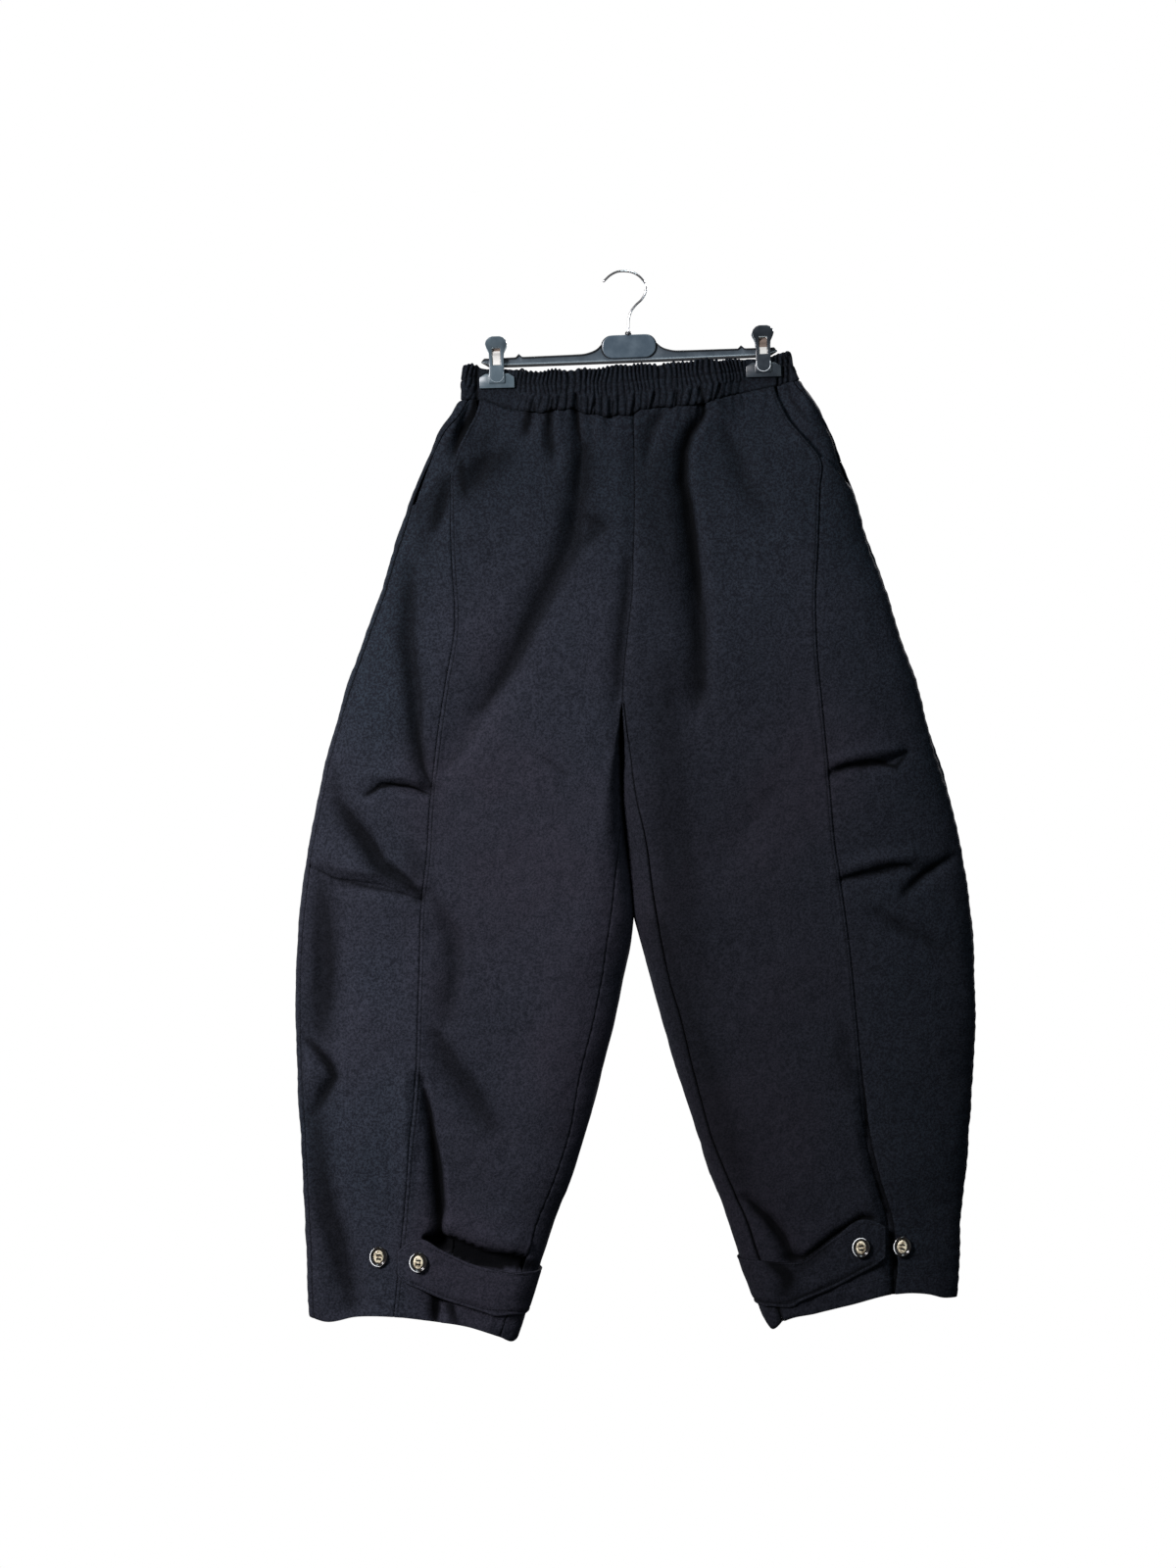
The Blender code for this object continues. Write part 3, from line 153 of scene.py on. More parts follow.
# Folds of the front. depth is how far the cloth comes forward (a trough is negative), and the widths
# are those at the first and last point of the route. A fifth value is the fold's lean.
FRONT_FOLDS = (
    # depth, first width, last width, route as (x, drop)
    (-6, 5, 7, ((-94, 140), (-95, 152), (-100, 172))),
    (-6, 5, 8, ((-76, 139), (-79, 168), (-75, 196))),
    (-10, 5, 12, ((-50, 138), (-48, 168), (-44, 190), (-46, 222), (-50, 252), (-56, 290))),
    (-3, 4, 5, ((-35, 152), (-33, 188))),
    (-3, 4, 6, ((-13, 146), (-12, 166))),
    (-9, 13, 18, ((-48, 270), (-71, 321), (-98, 375), (-127, 430), (-160, 478), (-190, 526))),
    (-5, 9, 9, ((-46, 262), (-25, 274), (-42, 292))),
    (-7, 9, 7, ((-226, 318), (-227, 388), (-220, 449), (-218, 494), (-212, 526), (-205, 545))),
    (-9, 11, 10, ((-306, 552), (-294, 574), (-273, 600), (-255, 629), (-228, 645), (-214, 661))),
    (-5, 10, 10, ((-140, 192), (-160, 228))),
    (-5, 7, 9, ((-186, 222), (-194, 272))),
    (-2, 4, 4, ((-85, 515), (-62, 533))),
    (-10, 15, 17, ((-322, 640), (-318, 745), (-322, 800)), -0.1),
    (-9, 8, 8, ((-342, 812), (-311, 841), (-307, 853), (-323, 880), (-338, 902))),
    (4, 9, 9, ((-336, 838), (-328, 862))),
    (-11, 14, 20, ((-333, 908), (-328, 962), (-316, 994), (-304, 1026), (-290, 1090)), 0.1),
    (-5, 9, 12, ((-197, 669), (-178, 706), (-177, 744), (-186, 790))),
    (-6, 9, 12, ((-198, 812), (-186, 844), (-174, 862), (-146, 908))),
    (4, 9, 10, ((-233, 845), (-229, 962))),
    (-14, 5, 10, ((-212, 856), (-203, 903), (-196, 947), (-192, 991), (-194, 1100)), 0.5),
    (6, 10, 9, ((-207, 541), (-241, 535), (-262, 535))),
    (-6, 6, 7, ((-205, 554), (-241, 547), (-256, 546), (-271, 556))),
    (6, 10, 12, ((-220, 650), (-255, 638), (-308, 630), (-334, 620))),
    (-5, 8, 10, ((-216, 669), (-255, 656), (-308, 650), (-338, 636))),
    (-15, 6, 16, ((84, 138), (86, 148), (82, 158), (71, 173), (65, 192), (64, 223), (69, 247),
                  (74, 285), (78, 323), (80, 354), (82, 383), (81, 446)), 0.4),
    (-5, 7, 8, ((42, 146), (29, 169), (23, 204))),
    (-5, 10, 14, ((107, 168), (120, 192), (129, 227), (148, 249))),
    (-3, 20, 20, ((170, 542), (105, 623))),
    (6, 10, 9, ((222, 519), (252, 510), (285, 507))),
    (-6, 6, 7, ((219, 531), (237, 525), (270, 521), (298, 510))),
    (6, 10, 10, ((230, 633), (262, 624), (302, 618))),
    (-5, 6, 7, ((229, 645), (251, 640), (282, 632), (304, 631))),
    (-6, 7, 8, ((297, 656), (318, 637), (350, 619))),
    (-5, 10, 12, ((268, 680), (300, 698), (335, 718))),
    (-10, 7, 9, ((130, 982), (153, 1003), (169, 1024), (181, 1048))),
    (-8, 4, 5, ((249, 850), (253, 888), (257, 927), (266, 962), (277, 996), (284, 1049), (282, 1100)), 0.5),
    (-3, 5, 8, ((8, 150), (8, 300), (3, 376), (-3, 470))),
    (-3, 8, 9, ((3, 316), (2, 348), (-4, 402), (-8, 457), (-11, 500)), 0.4),
)
# Sharp creases: the folded edges of the knee darts and short crumples
CREASES = (
    # depth, half width, route as (x, drop)
    (-2.2, 1.6, ((-205, 556), (-217, 549.5), (-241, 546), (-255, 543), (-270, 554))),
    (-2.0, 1.5, ((-214, 666), (-255, 651), (-308, 644), (-337, 628))),
    (-2.2, 1.6, ((217, 530), (237, 524), (261, 519), (277, 521), (298, 509))),
    (-2.0, 1.5, ((228, 644), (251, 638), (282, 630), (304, 629))),
    (-1.2, 1.6, ((295, 657), (316, 638), (348, 618))),
)
# Painted shade: where little light comes in at the front, the cloth's colour is painted darkest there
PAINTED_SHADES = (
    # strength, first half width, last half width, route as (x, drop)
    (0.4, 15, 14, ((-194, 172), (-206, 230), (-214, 290)), 0.0),
    (0.75, 8, 9, ((-187, 224), (-193, 250), (-203, 274))),
    (0.8, 5, 6, ((-172, 203), (-167, 238))),
    (0.72, 15, 14, ((-168, 228), (-150, 209), (-130, 196)), 0.0),
    (0.35, 8, 9, ((-140, 170), (-156, 190))),
    (0.9, 3, 5, ((-98, 139), (-101, 152), (-105, 170))),
    (0.8, 4, 6, ((-77, 139), (-79, 168), (-76, 194))),
    (1.0, 2.4, 3, ((-50, 134), (-48, 170), (-46, 181))),
    (0.75, 7, 5, ((-46, 182), (-36, 197))),
    (0.74, 11, 12, ((-42, 186), (-44, 215), (-48, 250)), 0.0),
    (0.6, 10, 12, ((-44, 256), (-27, 271), (-46, 290)), 0.0),
    (0.76, 15, 8, ((-45, 248), (-54, 293), (-71, 321), (-85, 348), (-98, 375), (-110, 402), (-127, 430),
                   (-150, 464)), 0.15),
    (0.3, 8, 3, ((-150, 464), (-160, 489), (-178, 515), (-188, 526))),
    (0.62, 5, 7, ((6, 306), (3, 348), (-3, 402), (-7, 452)), 0.5),
    (0.3, 5, 4, ((-8, 452), (-11, 520), (-12, 600)), 0.0),
    (0.7, 12, 9, ((-226, 318), (-227, 388), (-220, 449), (-218, 494), (-212, 526), (-204, 545))),
    (0.9, 4, 3, ((-219, 470), (-218, 494), (-212, 526), (-204, 545))),
    (1.0, 3.4, 1.3, ((-271, 554), (-260, 547), (-247, 543), (-228, 545), (-205, 554)), 0.0),
    (0.5, 9, 9, ((-305, 530), (-311, 566))),
    (0.85, 11, 7, ((-305, 560), (-294, 574), (-273, 600), (-255, 629), (-228, 645), (-214, 661)), 0.3),
    (0.7, 1.8, 1.5, ((-336, 629), (-308, 643), (-273, 651), (-234, 658), (-215, 665)), 0.0),
    (0.8, 15, 16, ((-323, 656), (-320, 700), (-319, 745), (-324, 800)), -0.1),
    (0.45, 16, 16, ((-340, 700), (-342, 760), (-342, 800)), 0.0),
    (0.95, 5, 6, ((-343, 806), (-323, 826), (-311, 841), (-306, 853), (-322, 880), (-336, 902)), 0.1),
    (0.78, 13, 14, ((-328, 896), (-323, 962), (-316, 994), (-304, 1026), (-290, 1090)), 0.1),
    (0.4, 10, 10, ((-223, 612), (-216, 642)), 0.0),
    (0.5, 9, 12, ((-338, 880), (-336, 960), (-326, 1010)), 0.0),
    (1.0, 3.5, 8.5, ((-211, 866), (-204, 890), (-197, 935), (-193, 985), (-193, 1050)), 0.55),
    (0.62, 10, 13, ((-197, 806), (-180, 838), (-166, 856), (-140, 902))),
    (0.42, 10, 12, ((-197, 669), (-178, 706), (-177, 744), (-186, 790))),
    (1.0, 5, 5, ((-199, 1070), (-200, 1112))),
    (0.8, 4, 4, ((-187, 1080), (-178, 1112))),
    (0.35, 2.5, 2.5, ((-85, 515), (-61, 534))),
    (0.5, 6, 7, ((42, 146), (29, 169), (23, 202))),
    (1.0, 5, 9, ((84, 130), (86, 148), (82, 158), (71, 173), (65, 192), (64, 223), (69, 247),
                 (74, 285), (78, 323), (80, 362)), 0.5),
    (0.8, 8, 12, ((78, 330), (81, 383), (81, 450)), 0.3),
    (0.4, 16, 24, ((44, 420), (50, 560), (60, 700), (76, 800)), 0.0),
    (0.35, 22, 30, ((20, 190), (40, 260), (50, 330)), 0.0),
    (0.55, 15, 24, ((40, 690), (50, 745), (66, 800), (98, 896), (122, 960)), 0.0),
    (0.38, 8, 12, ((107, 168), (120, 192), (129, 227), (148, 249))),
    (1.0, 1.6, 2.8, ((217, 531), (237, 525), (269, 521), (286, 525), (299, 509)), 0.0),
    (0.8, 1.6, 1.8, ((228, 644), (248, 640), (274, 635), (295, 629), (308, 633)), 0.0),
    (0.9, 3.6, 2.4, ((294, 659), (314, 640), (332, 627), (352, 617)), 0.0),
    (0.45, 6, 6, ((271, 682), (300, 698), (336, 717)), 0.0),
    (0.35, 9, 9, ((230, 800), (236, 860))),
    (1.0, 3, 7, ((130, 982), (152, 1002), (168, 1022), (180, 1048)), 0.4),
    (0.9, 2, 2, ((172, 118), (177, 135), (183, 144), (196, 160))),
)
# Creases of the right hem tab: they sink the tab, and their shade is painted into its colour
TAB_CREASE_SHADES = (
    (1.0, 5, 10, ((150, 1047), (164, 1054), (173, 1064), (170, 1078)), 0.0),
    (0.6, 5, 5, ((176, 1062), (190, 1050), (214, 1032)), 0.0),
)
# The waistband
BAND_ROUND = 735.0     # round it, along its middle
BAND_PAINTED_LIGHT = 0.35        # painted light: the share of the full colour on its face
BAND_ROW = 0.34        # where its row of stitches runs, as a share of its height
BAND_POINTS = 1480     # round it
RIBS = 400             # more than there are
BAND_TUCKS = ((-156.5, 2.4), (163.0, 1.2), (168.5, 1.3), (174.0, 1.2))    # x and half width, at its ends
BAND_ENDS = (
    # share of its height from the top, x of the left end, x of the right end
    (0.0, -168.0, 175.0), (0.3, -171.5, 178.5), (1.0, -173.0, 186.0),
)
# Clefts that run up from the panels into the lower part of the waistband
BAND_CLEFTS = (
    # x at the seam, how far it leans over the whole height, height where it begins, half width
    (-95.0, 4.0, 0.72, 1.8), (-77.0, 6.0, 0.68, 2.0), (-49.5, -3.0, 0.52, 2.3), (-35.0, 12.0, 0.7, 1.6),
    (-13.0, 5.0, 0.66, 1.7), (8.0, 9.0, 0.74, 1.5), (28.0, 12.0, 0.62, 1.8), (55.0, 5.0, 0.6, 1.8),
    (84.0, -9.0, 0.55, 2.6), (96.0, 14.0, 0.55, 1.6),
)
# Folds of the back, seen through from the front: the x of both tables is the same.
BACK_FOLDS = (
    (-5, 7, 12, ((-112, 146), (-116, 230))),
    (-6, 7, 14, ((-62, 146), (-58, 215), (-76, 300))),
    (-5, 7, 12, ((-24, 150), (-20, 225))),
    (-5, 7, 12, ((44, 144), (40, 230))),
    (-7, 7, 15, ((96, 136), (92, 214), (112, 310))),
    (-6, 14, 20, ((-14, 470), (-70, 420), (-130, 396))),
    (-6, 14, 20, ((12, 465), (76, 414), (140, 388))),
    (-3, 6, 8, ((9, 150), (9, 300), (3, 376), (-3, 470))),
    (-6, 14, 20, ((-120, 560), (-210, 590), (-300, 560))),
    (-5, 14, 20, ((-110, 660), (-200, 690), (-300, 676))),
    (-6, 14, 20, ((130, 560), (220, 592), (320, 562))),
    (-5, 14, 20, ((120, 664), (210, 690), (310, 680))),
    (-7, 14, 18, ((-190, 850), (-205, 960), (-200, 1080))),
    (-7, 14, 18, ((230, 840), (250, 950), (262, 1070))),
    (-5, 12, 16, ((-300, 960), (-270, 1060))),
)

# How far the shade beside a seam reaches, and on the right leg by drop
SEAM_SHADE = 0.9
ROLLED_SEAM = ((845, 905, 962, 1060, 1085), (0.9, 1.7, 2.6, 2.6, 1.8))
ROLLED_INSEAM = ((460, 560, 650, 720), (0.9, 0.9, 1.2, 1.9))
# Painted light on the face of a leg, for how the light falls: drops, and the share of the full colour at
# each
LEFT_PAINTED_LIGHT = ((140, 230, 380, 560, 1100), (0.46, 0.56, 0.77, 0.79, 0.79))
RIGHT_PAINTED_LIGHT = ((140, 230, 330, 440, 750, 1100), (0.46, 0.53, 0.61, 0.52, 0.45, 0.40))

# Hem tabs. The first rows run over the front from the pointed end; the others go on round the inner
# edge of the leg, where reach is how far round the back they lie.
LEFT_TAB = (
    # x, top, bottom
    (-240, 1036, 1060), (-232, 1029, 1069), (-217, 1023, 1076), (-192, 1035, 1087), (-164, 1048, 1096),
    (-148, 1053, 1101),
)
RIGHT_TAB = (
    # x, top, bottom
    (276, 1010, 1043), (264, 1004, 1052), (252, 1002, 1058), (222, 1021, 1074), (204, 1035, 1082),
    (189, 1046, 1088),
)
TABS = {"left": LEFT_TAB, "right": RIGHT_TAB}
TAB_TURN = {"left": (1058, 1104), "right": (1046, 1095)}
TAB_BACK = (
    # reach round the back, how much higher than at the turn
    (-39, -1), (-27, 0), (-18, 0), (-11, 0), (-6, 1), (-2, 2), (2, 3), (6, 4), (11, 5), (17, 5),
    (26, 6), (38, 6), (56, 7), (100, 7),
)
# How far above the left hem tab the cloth is tucked in, by x
TUCK_REACH = ((-216, 0), (-200, 8), (-182, 16), (-163, 17), (-146, 15), (-110, 9), (-93, 3), (-84, 0))
# Buttons, by x and drop
BUTTONS = {
    "button_left_panel": (-259.5, 1042.0),
    "button_left_strap": (-217.5, 1047.5),
    "button_right_strap": (249.5, 1032.0),
    "button_right_panel": (293.0, 1031.5),
}

BUTTON_OVAL = (0.94, 1.06)         # a little taller than wide
BUTTON_TURN = (
    # radius, height above the back face, from the middle out and round under the rim
    (6.3, 1.5), (6.9, 1.45), (7.4, 1.55), (7.9, 2.1), (8.5, 2.9), (9.2, 3.15), (9.8, 2.8), (10.2, 2.1),
    (10.25, 1.5), (9.9, 0.8), (9.0, 0.25), (7.5, 0.05), (0.5, 0.0),
)
HEART_TURN = ((0.3, 2.05), (2.6, 2.05), (4.6, 2.15), (5.8, 2.0), (6.4, 1.5), (6.1, 1.0), (0.3, 1.0))
RIM_GLINTS = {
    # where each button rim's painted highlight, a pale crescent for the light it reflects, starts and ends,
    # in degrees from the right
    "left_panel": (118.0, 285.0),
    "left_strap": (120.0, 280.0),
    "right_strap": (48.0, 240.0),
    "right_panel": (150.0, 235.0),
}

BAR_ROWS = (
    # x along the bar, top and bottom over its middle line
    (-157.0, 1.6, 0.2), (-154.0, 5.0, -1.6), (-148.0, 4.6, -5.2), (-120.5, 5.0, -5.6),
    (-117.0, 8.6, -5.6), (-113.5, 5.1, -5.6), (-60.0, 5.4, -5.8), (-44.0, 6.6, -5.8),
    (-34.0, 10.6, -5.8), (-27.0, 17.0, -5.8), (0.0, 19.0, -5.8), (27.0, 17.0, -5.8), (34.0, 10.6, -5.8),
    (44.0, 6.6, -5.8), (60.0, 5.4, -5.8), (115.5, 5.1, -5.6), (119.0, 8.6, -5.6), (122.5, 5.0, -5.6),
    (148.0, 4.6, -5.2), (154.0, 5.0, -1.6), (157.0, 1.6, 0.2),
)
BAR_SWEEP = 60.0                   # inside this the bar's top curves up to the plaque
BAR_HALF_DEPTH = 2.5
BAR_WEB_HALF = 1.1
# Which strips of the bar's outline are its sunk web, and the ledge under it, painted pale as a highlight
# where the light catches
BAR_WEB = (6, 7, 8, 21, 22, 23)
BAR_LEDGE = (9, 20)
PLAQUE = {"half_width": 28.5, "low": -0.5, "high": 24.0, "corner": 11.5, "half_depth": 3.4}
COLLAR_TURN = ((3.6, -1.0), (3.6, 1.6), (3.4, 2.6), (2.8, 3.3), (1.9, 3.6), (1.3, 3.6), (1.25, 1.0))
HOOK_ROUTE = (
    # x, drop of the wire's middle line
    (-22.5, 10.2), (-15.0, 3.2), (-8.0, -0.4), (0.5, -1.2), (9.5, 0.4), (17.0, 5.2), (22.0, 12.5),
    (22.6, 20.5), (18.6, 28.5), (12.0, 35.0), (7.2, 41.5), (5.0, 48.0),
)
HOOK_FOOT = 76.0                   # drop of the wire's end in its socket

LEVER_ROWS = (
    # below the head's top, half width, inner face from the middle plane
    (0.0, 4.0, 11.6), (1.3, 7.6, 11.2), (4.0, 10.4, 10.2), (7.6, 11.5, 8.6), (11.0, 10.4, 6.6),
    (15.8, 8.1, 4.4), (20.0, 7.8, 2.8), (29.8, 7.8, 2.8), (33.5, 7.8, JAW_INNER),
    (38.6, 8.0, JAW_INNER), (42.4, 8.2, JAW_INNER), (48.0, 8.2, JAW_INNER), (49.8, 7.4, JAW_INNER),
    (53.8, 7.4, JAW_INNER),
)
LEVER_THICK = 2.6
TONGUE_PROUD = 1.5
TONGUE_END = 49.0
# A painted highlight round the foot of the tongue, a pale thread where the light catches: where it starts
# and turns is below the head's top
TONGUE_GLINT = {"half": 7.3, "from": 37.0, "turn": 41.0, "reach": 6.9, "radius": 0.32}
WINDOW_HALF = 4.5
WINDOW = (11.0, 29.8)              # from and to, below the head's top
JAW_FROM = 38.6                    # where the jaw plate begins, below the head's top
SPRING_HALF = WINDOW_HALF - GAP
SPRING_ROUTE = (
    # distance from the middle plane, below the head's top
    (5.4, 29.4), (5.2, 25.0), (5.6, 20.0), (6.6, 15.8), (5.6, 13.2), (3.2, 11.8), (0.0, 11.3),
)
TARNISHED = {"left": 15.0, "right": 22.0}    # down to here, below the head's top
CLIPS = {
    # x and drop of the head's top, and the drop where the jaws end
    "left": (-136.3, 69.5, 124.0),
    "right": (146.4, 57.7, 112.0),
}

# Stitches
SEAM_THREAD = (3.2, 2.5, 0.26)     # pitch, length of a stitch, radius of the thread
BAND_THREAD = (2.6, 2.2, 0.24)
SEAM_ROW = (146.0, 1094.0)         # drops of the row beside a seam
HEM_ROWS = {"left": (-330.0, -112.0), "right": (152.0, 346.0)}
TAB_ENDS = {"left": -100.0, "right": 160.0}
TAB_ROW = 3.8                      # the rows of a hem tab, from its edges
PATH_STEP = 1.6                    # between the points of a path
FINE_STEP = 1.2
GRAZING = 0.18                     # cloth seen more edge on than this shows no stitches
STEP_BACK = 6.0                    # where the cloth steps back this far, a row of stitches breaks off
SEARCH_FROM = 0.2                  # how far before the cloth a search for it starts, in metres

# The pale room
ROOM_LIGHT = 0.09
LAMPS = (
    # name, place, aim, power, width, colour
    ("key", (-1.9, -1.8, 0.5), (0.0, 0.0, -0.6), 200.0, 0.8, (1.0, 0.97, 0.985)),
    ("fill", (2.4, -2.4, -0.5), (0.0, 0.0, -0.7), 20.0, 2.0, (0.80, 0.93, 1.0)),
    ("top", (0.5, -1.2, 2.2), (0.0, 0.0, -0.4), 50.0, 1.2, (0.80, 0.94, 1.0)),
    ("rear key", (1.5, 2.4, 0.8), (0.0, 0.0, -0.6), 210.0, 0.8, (1.0, 0.97, 0.985)),
    ("rear fill", (-2.0, 2.2, -0.5), (0.0, 0.0, -0.7), 60.0, 1.4, (0.85, 0.94, 1.0)),
)
CAMERA = {"x": -0.0385, "away": 4.5, "height": -0.543, "view_height": 1.664, "sensor": 24.0}
FLOOR = {"half": 1.3, "height": -1.46}

# Offsets of the columns that crowd at a panel's edge, where its seam and stitches lie
EDGE_COLUMNS = np.array([0.0, 0.7, 1.6, 2.7, 3.6, 4.6, 6.4, 9.0])
GHOST = 2.0            # a column this far past each edge shapes the seam but is cut off

WRAP_COLUMNS = 34      # of the back panel's strip that turns on to the front at the inner leg
SPANS = {
    # panel and leg: first mark, last mark, rounds on to it, columns, whether they crowd at each end
    ("side", "left"): (("outseam", "seam", 0, 50, True, True),),
    ("side", "right"): (("seam", "outseam", 0, 50, True, True),),
    ("middle", "left"): (("seam", "inseam", 0, 104, True, True),),
    ("middle", "right"): (("inseam", "seam", 0, 104, True, True),),
    ("back", "left"): (("inseam", "corner", 0, WRAP_COLUMNS, True, False),
                       ("corner", "outseam", 1, 96, True, True)),
    ("back", "right"): (("outseam", "corner", 0, 96, True, True),
                        ("corner", "inseam", 1, WRAP_COLUMNS, False, True)),
}
PANEL_LEVELS = {
    # spacing of the levels from each drop on, closest at the knee darts
    "side": ((0, 3.0), (488, 1.5), (575, 2.6), (606, 1.5), (690, 3.0), (1080, 2.4)),
    "middle": ((0, 2.2), (206, 3.2), (1080, 2.4)),
    "back": ((0, 2.6), (200, 4.6), (1080, 3.0)),
}

LEGS = {
    "left": {"name": "left", "side": -1, "outline": LEFT_OUTLINE, "inner": LEFT_INNER,
             "hem": LEFT_HEM, "pocket": LEFT_POCKET, "outseam_inset": 5.0},
    "right": {"name": "right", "side": 1, "outline": RIGHT_OUTLINE, "inner": RIGHT_INNER,
              "hem": RIGHT_HEM, "pocket": RIGHT_POCKET, "outseam_inset": 0.5},
}


# ---- form of the cloth


def smoothstep(value):
    t = np.clip(value, 0.0, 1.0)
    return t * t * (3.0 - 2.0 * t)


def curve(rows, at, column=1):
    """Smooth value of one column of a table whose first column rises, held level past its ends."""
    table = np.array([(row[0], row[column]) for row in rows], float)
    place, value = table.T
    slope = np.gradient(value, place)
    at = np.clip(at, place[0], place[-1])
    i = np.clip(np.searchsorted(place, at) - 1, 0, len(place) - 2)
    step = place[i + 1] - place[i]
    t = (at - place[i]) / step
    start = (1 + 2 * t) * (1 - t) ** 2 * value[i] + t * (1 - t) ** 2 * step * slope[i]
    end = t * t * (3 - 2 * t) * value[i + 1] + t * t * (t - 1) * step * slope[i + 1]
    return start + end


def fold_rise(folds, x, drop):
    """How far a list of folds brings the cloth forward at each place. A fold leans: its left flank is
    wider than its right by that share, or narrower where lean is negative."""
    rise = np.zeros(np.broadcast(x, drop).shape)
    for fold in folds:
        depth, first, last, route = fold[:4]
        lean = fold[4] if len(fold) > 4 else FOLD_LEAN
        points = np.array(route, float)
        runs = np.linalg.norm(np.diff(points, axis=0), axis=1)
        length = runs.sum()
        nearest = np.full(rise.shape, 1e9)
        along_it = np.zeros(rise.shape)
        rightward = np.zeros(rise.shape)
        walked = 0.0
        for a, b, run in zip(points[:-1], points[1:], runs):
            ux, uz = (b - a) / run
            t = np.clip((x - a[0]) * ux + (drop - a[1]) * uz, 0.0, run)
            away = np.hypot(x - a[0] - t * ux, drop - a[1] - t * uz)
            closer = away < nearest
            along_it = np.where(closer, (walked + t) / length, along_it)
            rightward = np.where(closer, (x - a[0]) * uz - (drop - a[1]) * ux, rightward)
            nearest = np.where(closer, away, nearest)
            walked += run
        width = first + (last - first) * along_it
        width = width * (1.0 - lean * np.tanh(rightward / 2.0))
        fade = 0.35 + 0.65 * np.sin(math.pi * np.clip(along_it, 0.04, 0.96)) ** 0.5
        rise = rise + depth * fade * np.exp(-(nearest / width) ** FOLD_POWER)
    return rise


def half_depth(x, drop):
    """Half the depth of the hung garment, which is pinched flat in the clips' jaws."""
    depth = curve(BODY, drop, 1)
    for head_x, _, jaw_end in CLIPS.values():
        near = 1.0 - smoothstep((np.abs(x - head_x - 1.0) - JAW_HALF_WIDTH - 2.0) / 32.0)
        held = 1.0 - smoothstep((drop - jaw_end - 3.0) / 80.0)
        depth = depth + (PINCHED - depth) * near * held
    return depth


def waist_seam(x):
    """Drop of the waist seam, which is scalloped where the panels are gathered into it."""
    gathers = smoothstep((x + 100.0) / 12.0) * (1.0 - smoothstep((x - 84.0) / 12.0))
    scallop = 1.3 * np.abs(np.sin(x / 7.7 + 0.6)) + 0.8 * np.sin(x / 3.6 + 1.0)
    return curve(WAIST_SEAM, x) + gathers * scallop


def shift(leg, x, nominal):
    """How far a nominal level is moved down at x: at the waist seam, pocket mouth and hem."""
    waist = (waist_seam(x) - WAIST) * (1.0 - smoothstep((nominal - WAIST) / 100.0))
    hem = (curve(leg["hem"], x) - HEM) * smoothstep((nominal - HEM + 110.0) / 110.0)
    pocket = leg["pocket"]
    mouth = pocket["mouth"]
    seam = curve(leg["outline"], mouth, 2)
    edge = curve(leg["outline"], mouth + pocket["fall"], 1)
    across = smoothstep((x - seam) / (edge - seam))
    rising = smoothstep((nominal - WAIST) / (mouth - WAIST))
    falling = 1.0 - smoothstep((nominal - mouth) / 110.0)
    return waist + hem + pocket["fall"] * across * np.minimum(rising, falling)


def line_x(table, column, nominal, move):
    """x of an outline's line where a level, moved down by move(x), crosses it."""
    x = curve(table, nominal, column)
    for _ in range(4):
        x = curve(table, nominal + move(x), column)
    return x


def section(x0, x1, round0, round1, drop_at):
    """Points round one level, from the edge x0 over the front to x1 and back over the rear.

    Each row is x, y, drop and fullness: 0 at the two edges and 1 where the section is flat."""
    angle = np.linspace(0.0, math.pi / 2.0, 25)
    start = x0 + round0 * (1.0 - np.cos(angle))
    end = (x1 - round1 * (1.0 - np.cos(angle)))[::-1]
    middle = np.linspace(start[-1], end[0], 150)[1:-1]
    x = np.concatenate([start, middle, end])
    full = np.concatenate([np.sin(angle), np.ones(len(middle)), np.sin(angle)[::-1]])
    drop = drop_at(x)
    y = half_depth(x, drop) * full
    front = np.stack([x, -y, drop, full], 1)
    rear = np.stack([x, y, drop, full], 1)[::-1]
    return np.concatenate([front, rear[1:]]), len(x)


def bell(away, width):
    return np.exp(-(away / width) ** 2)


def along(points):
    """How far each point lies along the line through all of them."""
    steps = np.linalg.norm(np.diff(points, axis=0), axis=1)
    return np.concatenate([[0.0], np.cumsum(steps)])


def smoothed(route, count):
    """Points at even steps on a smooth curve through a route's points."""
    place = along(route)
    steps = np.linspace(0.0, place[-1], count)
    return np.stack([curve(list(zip(place, column)), steps) for column in route.T], 1)


def turns(count, whole=2.0 * math.pi):
    return np.linspace(0.0, whole, count, endpoint=False)


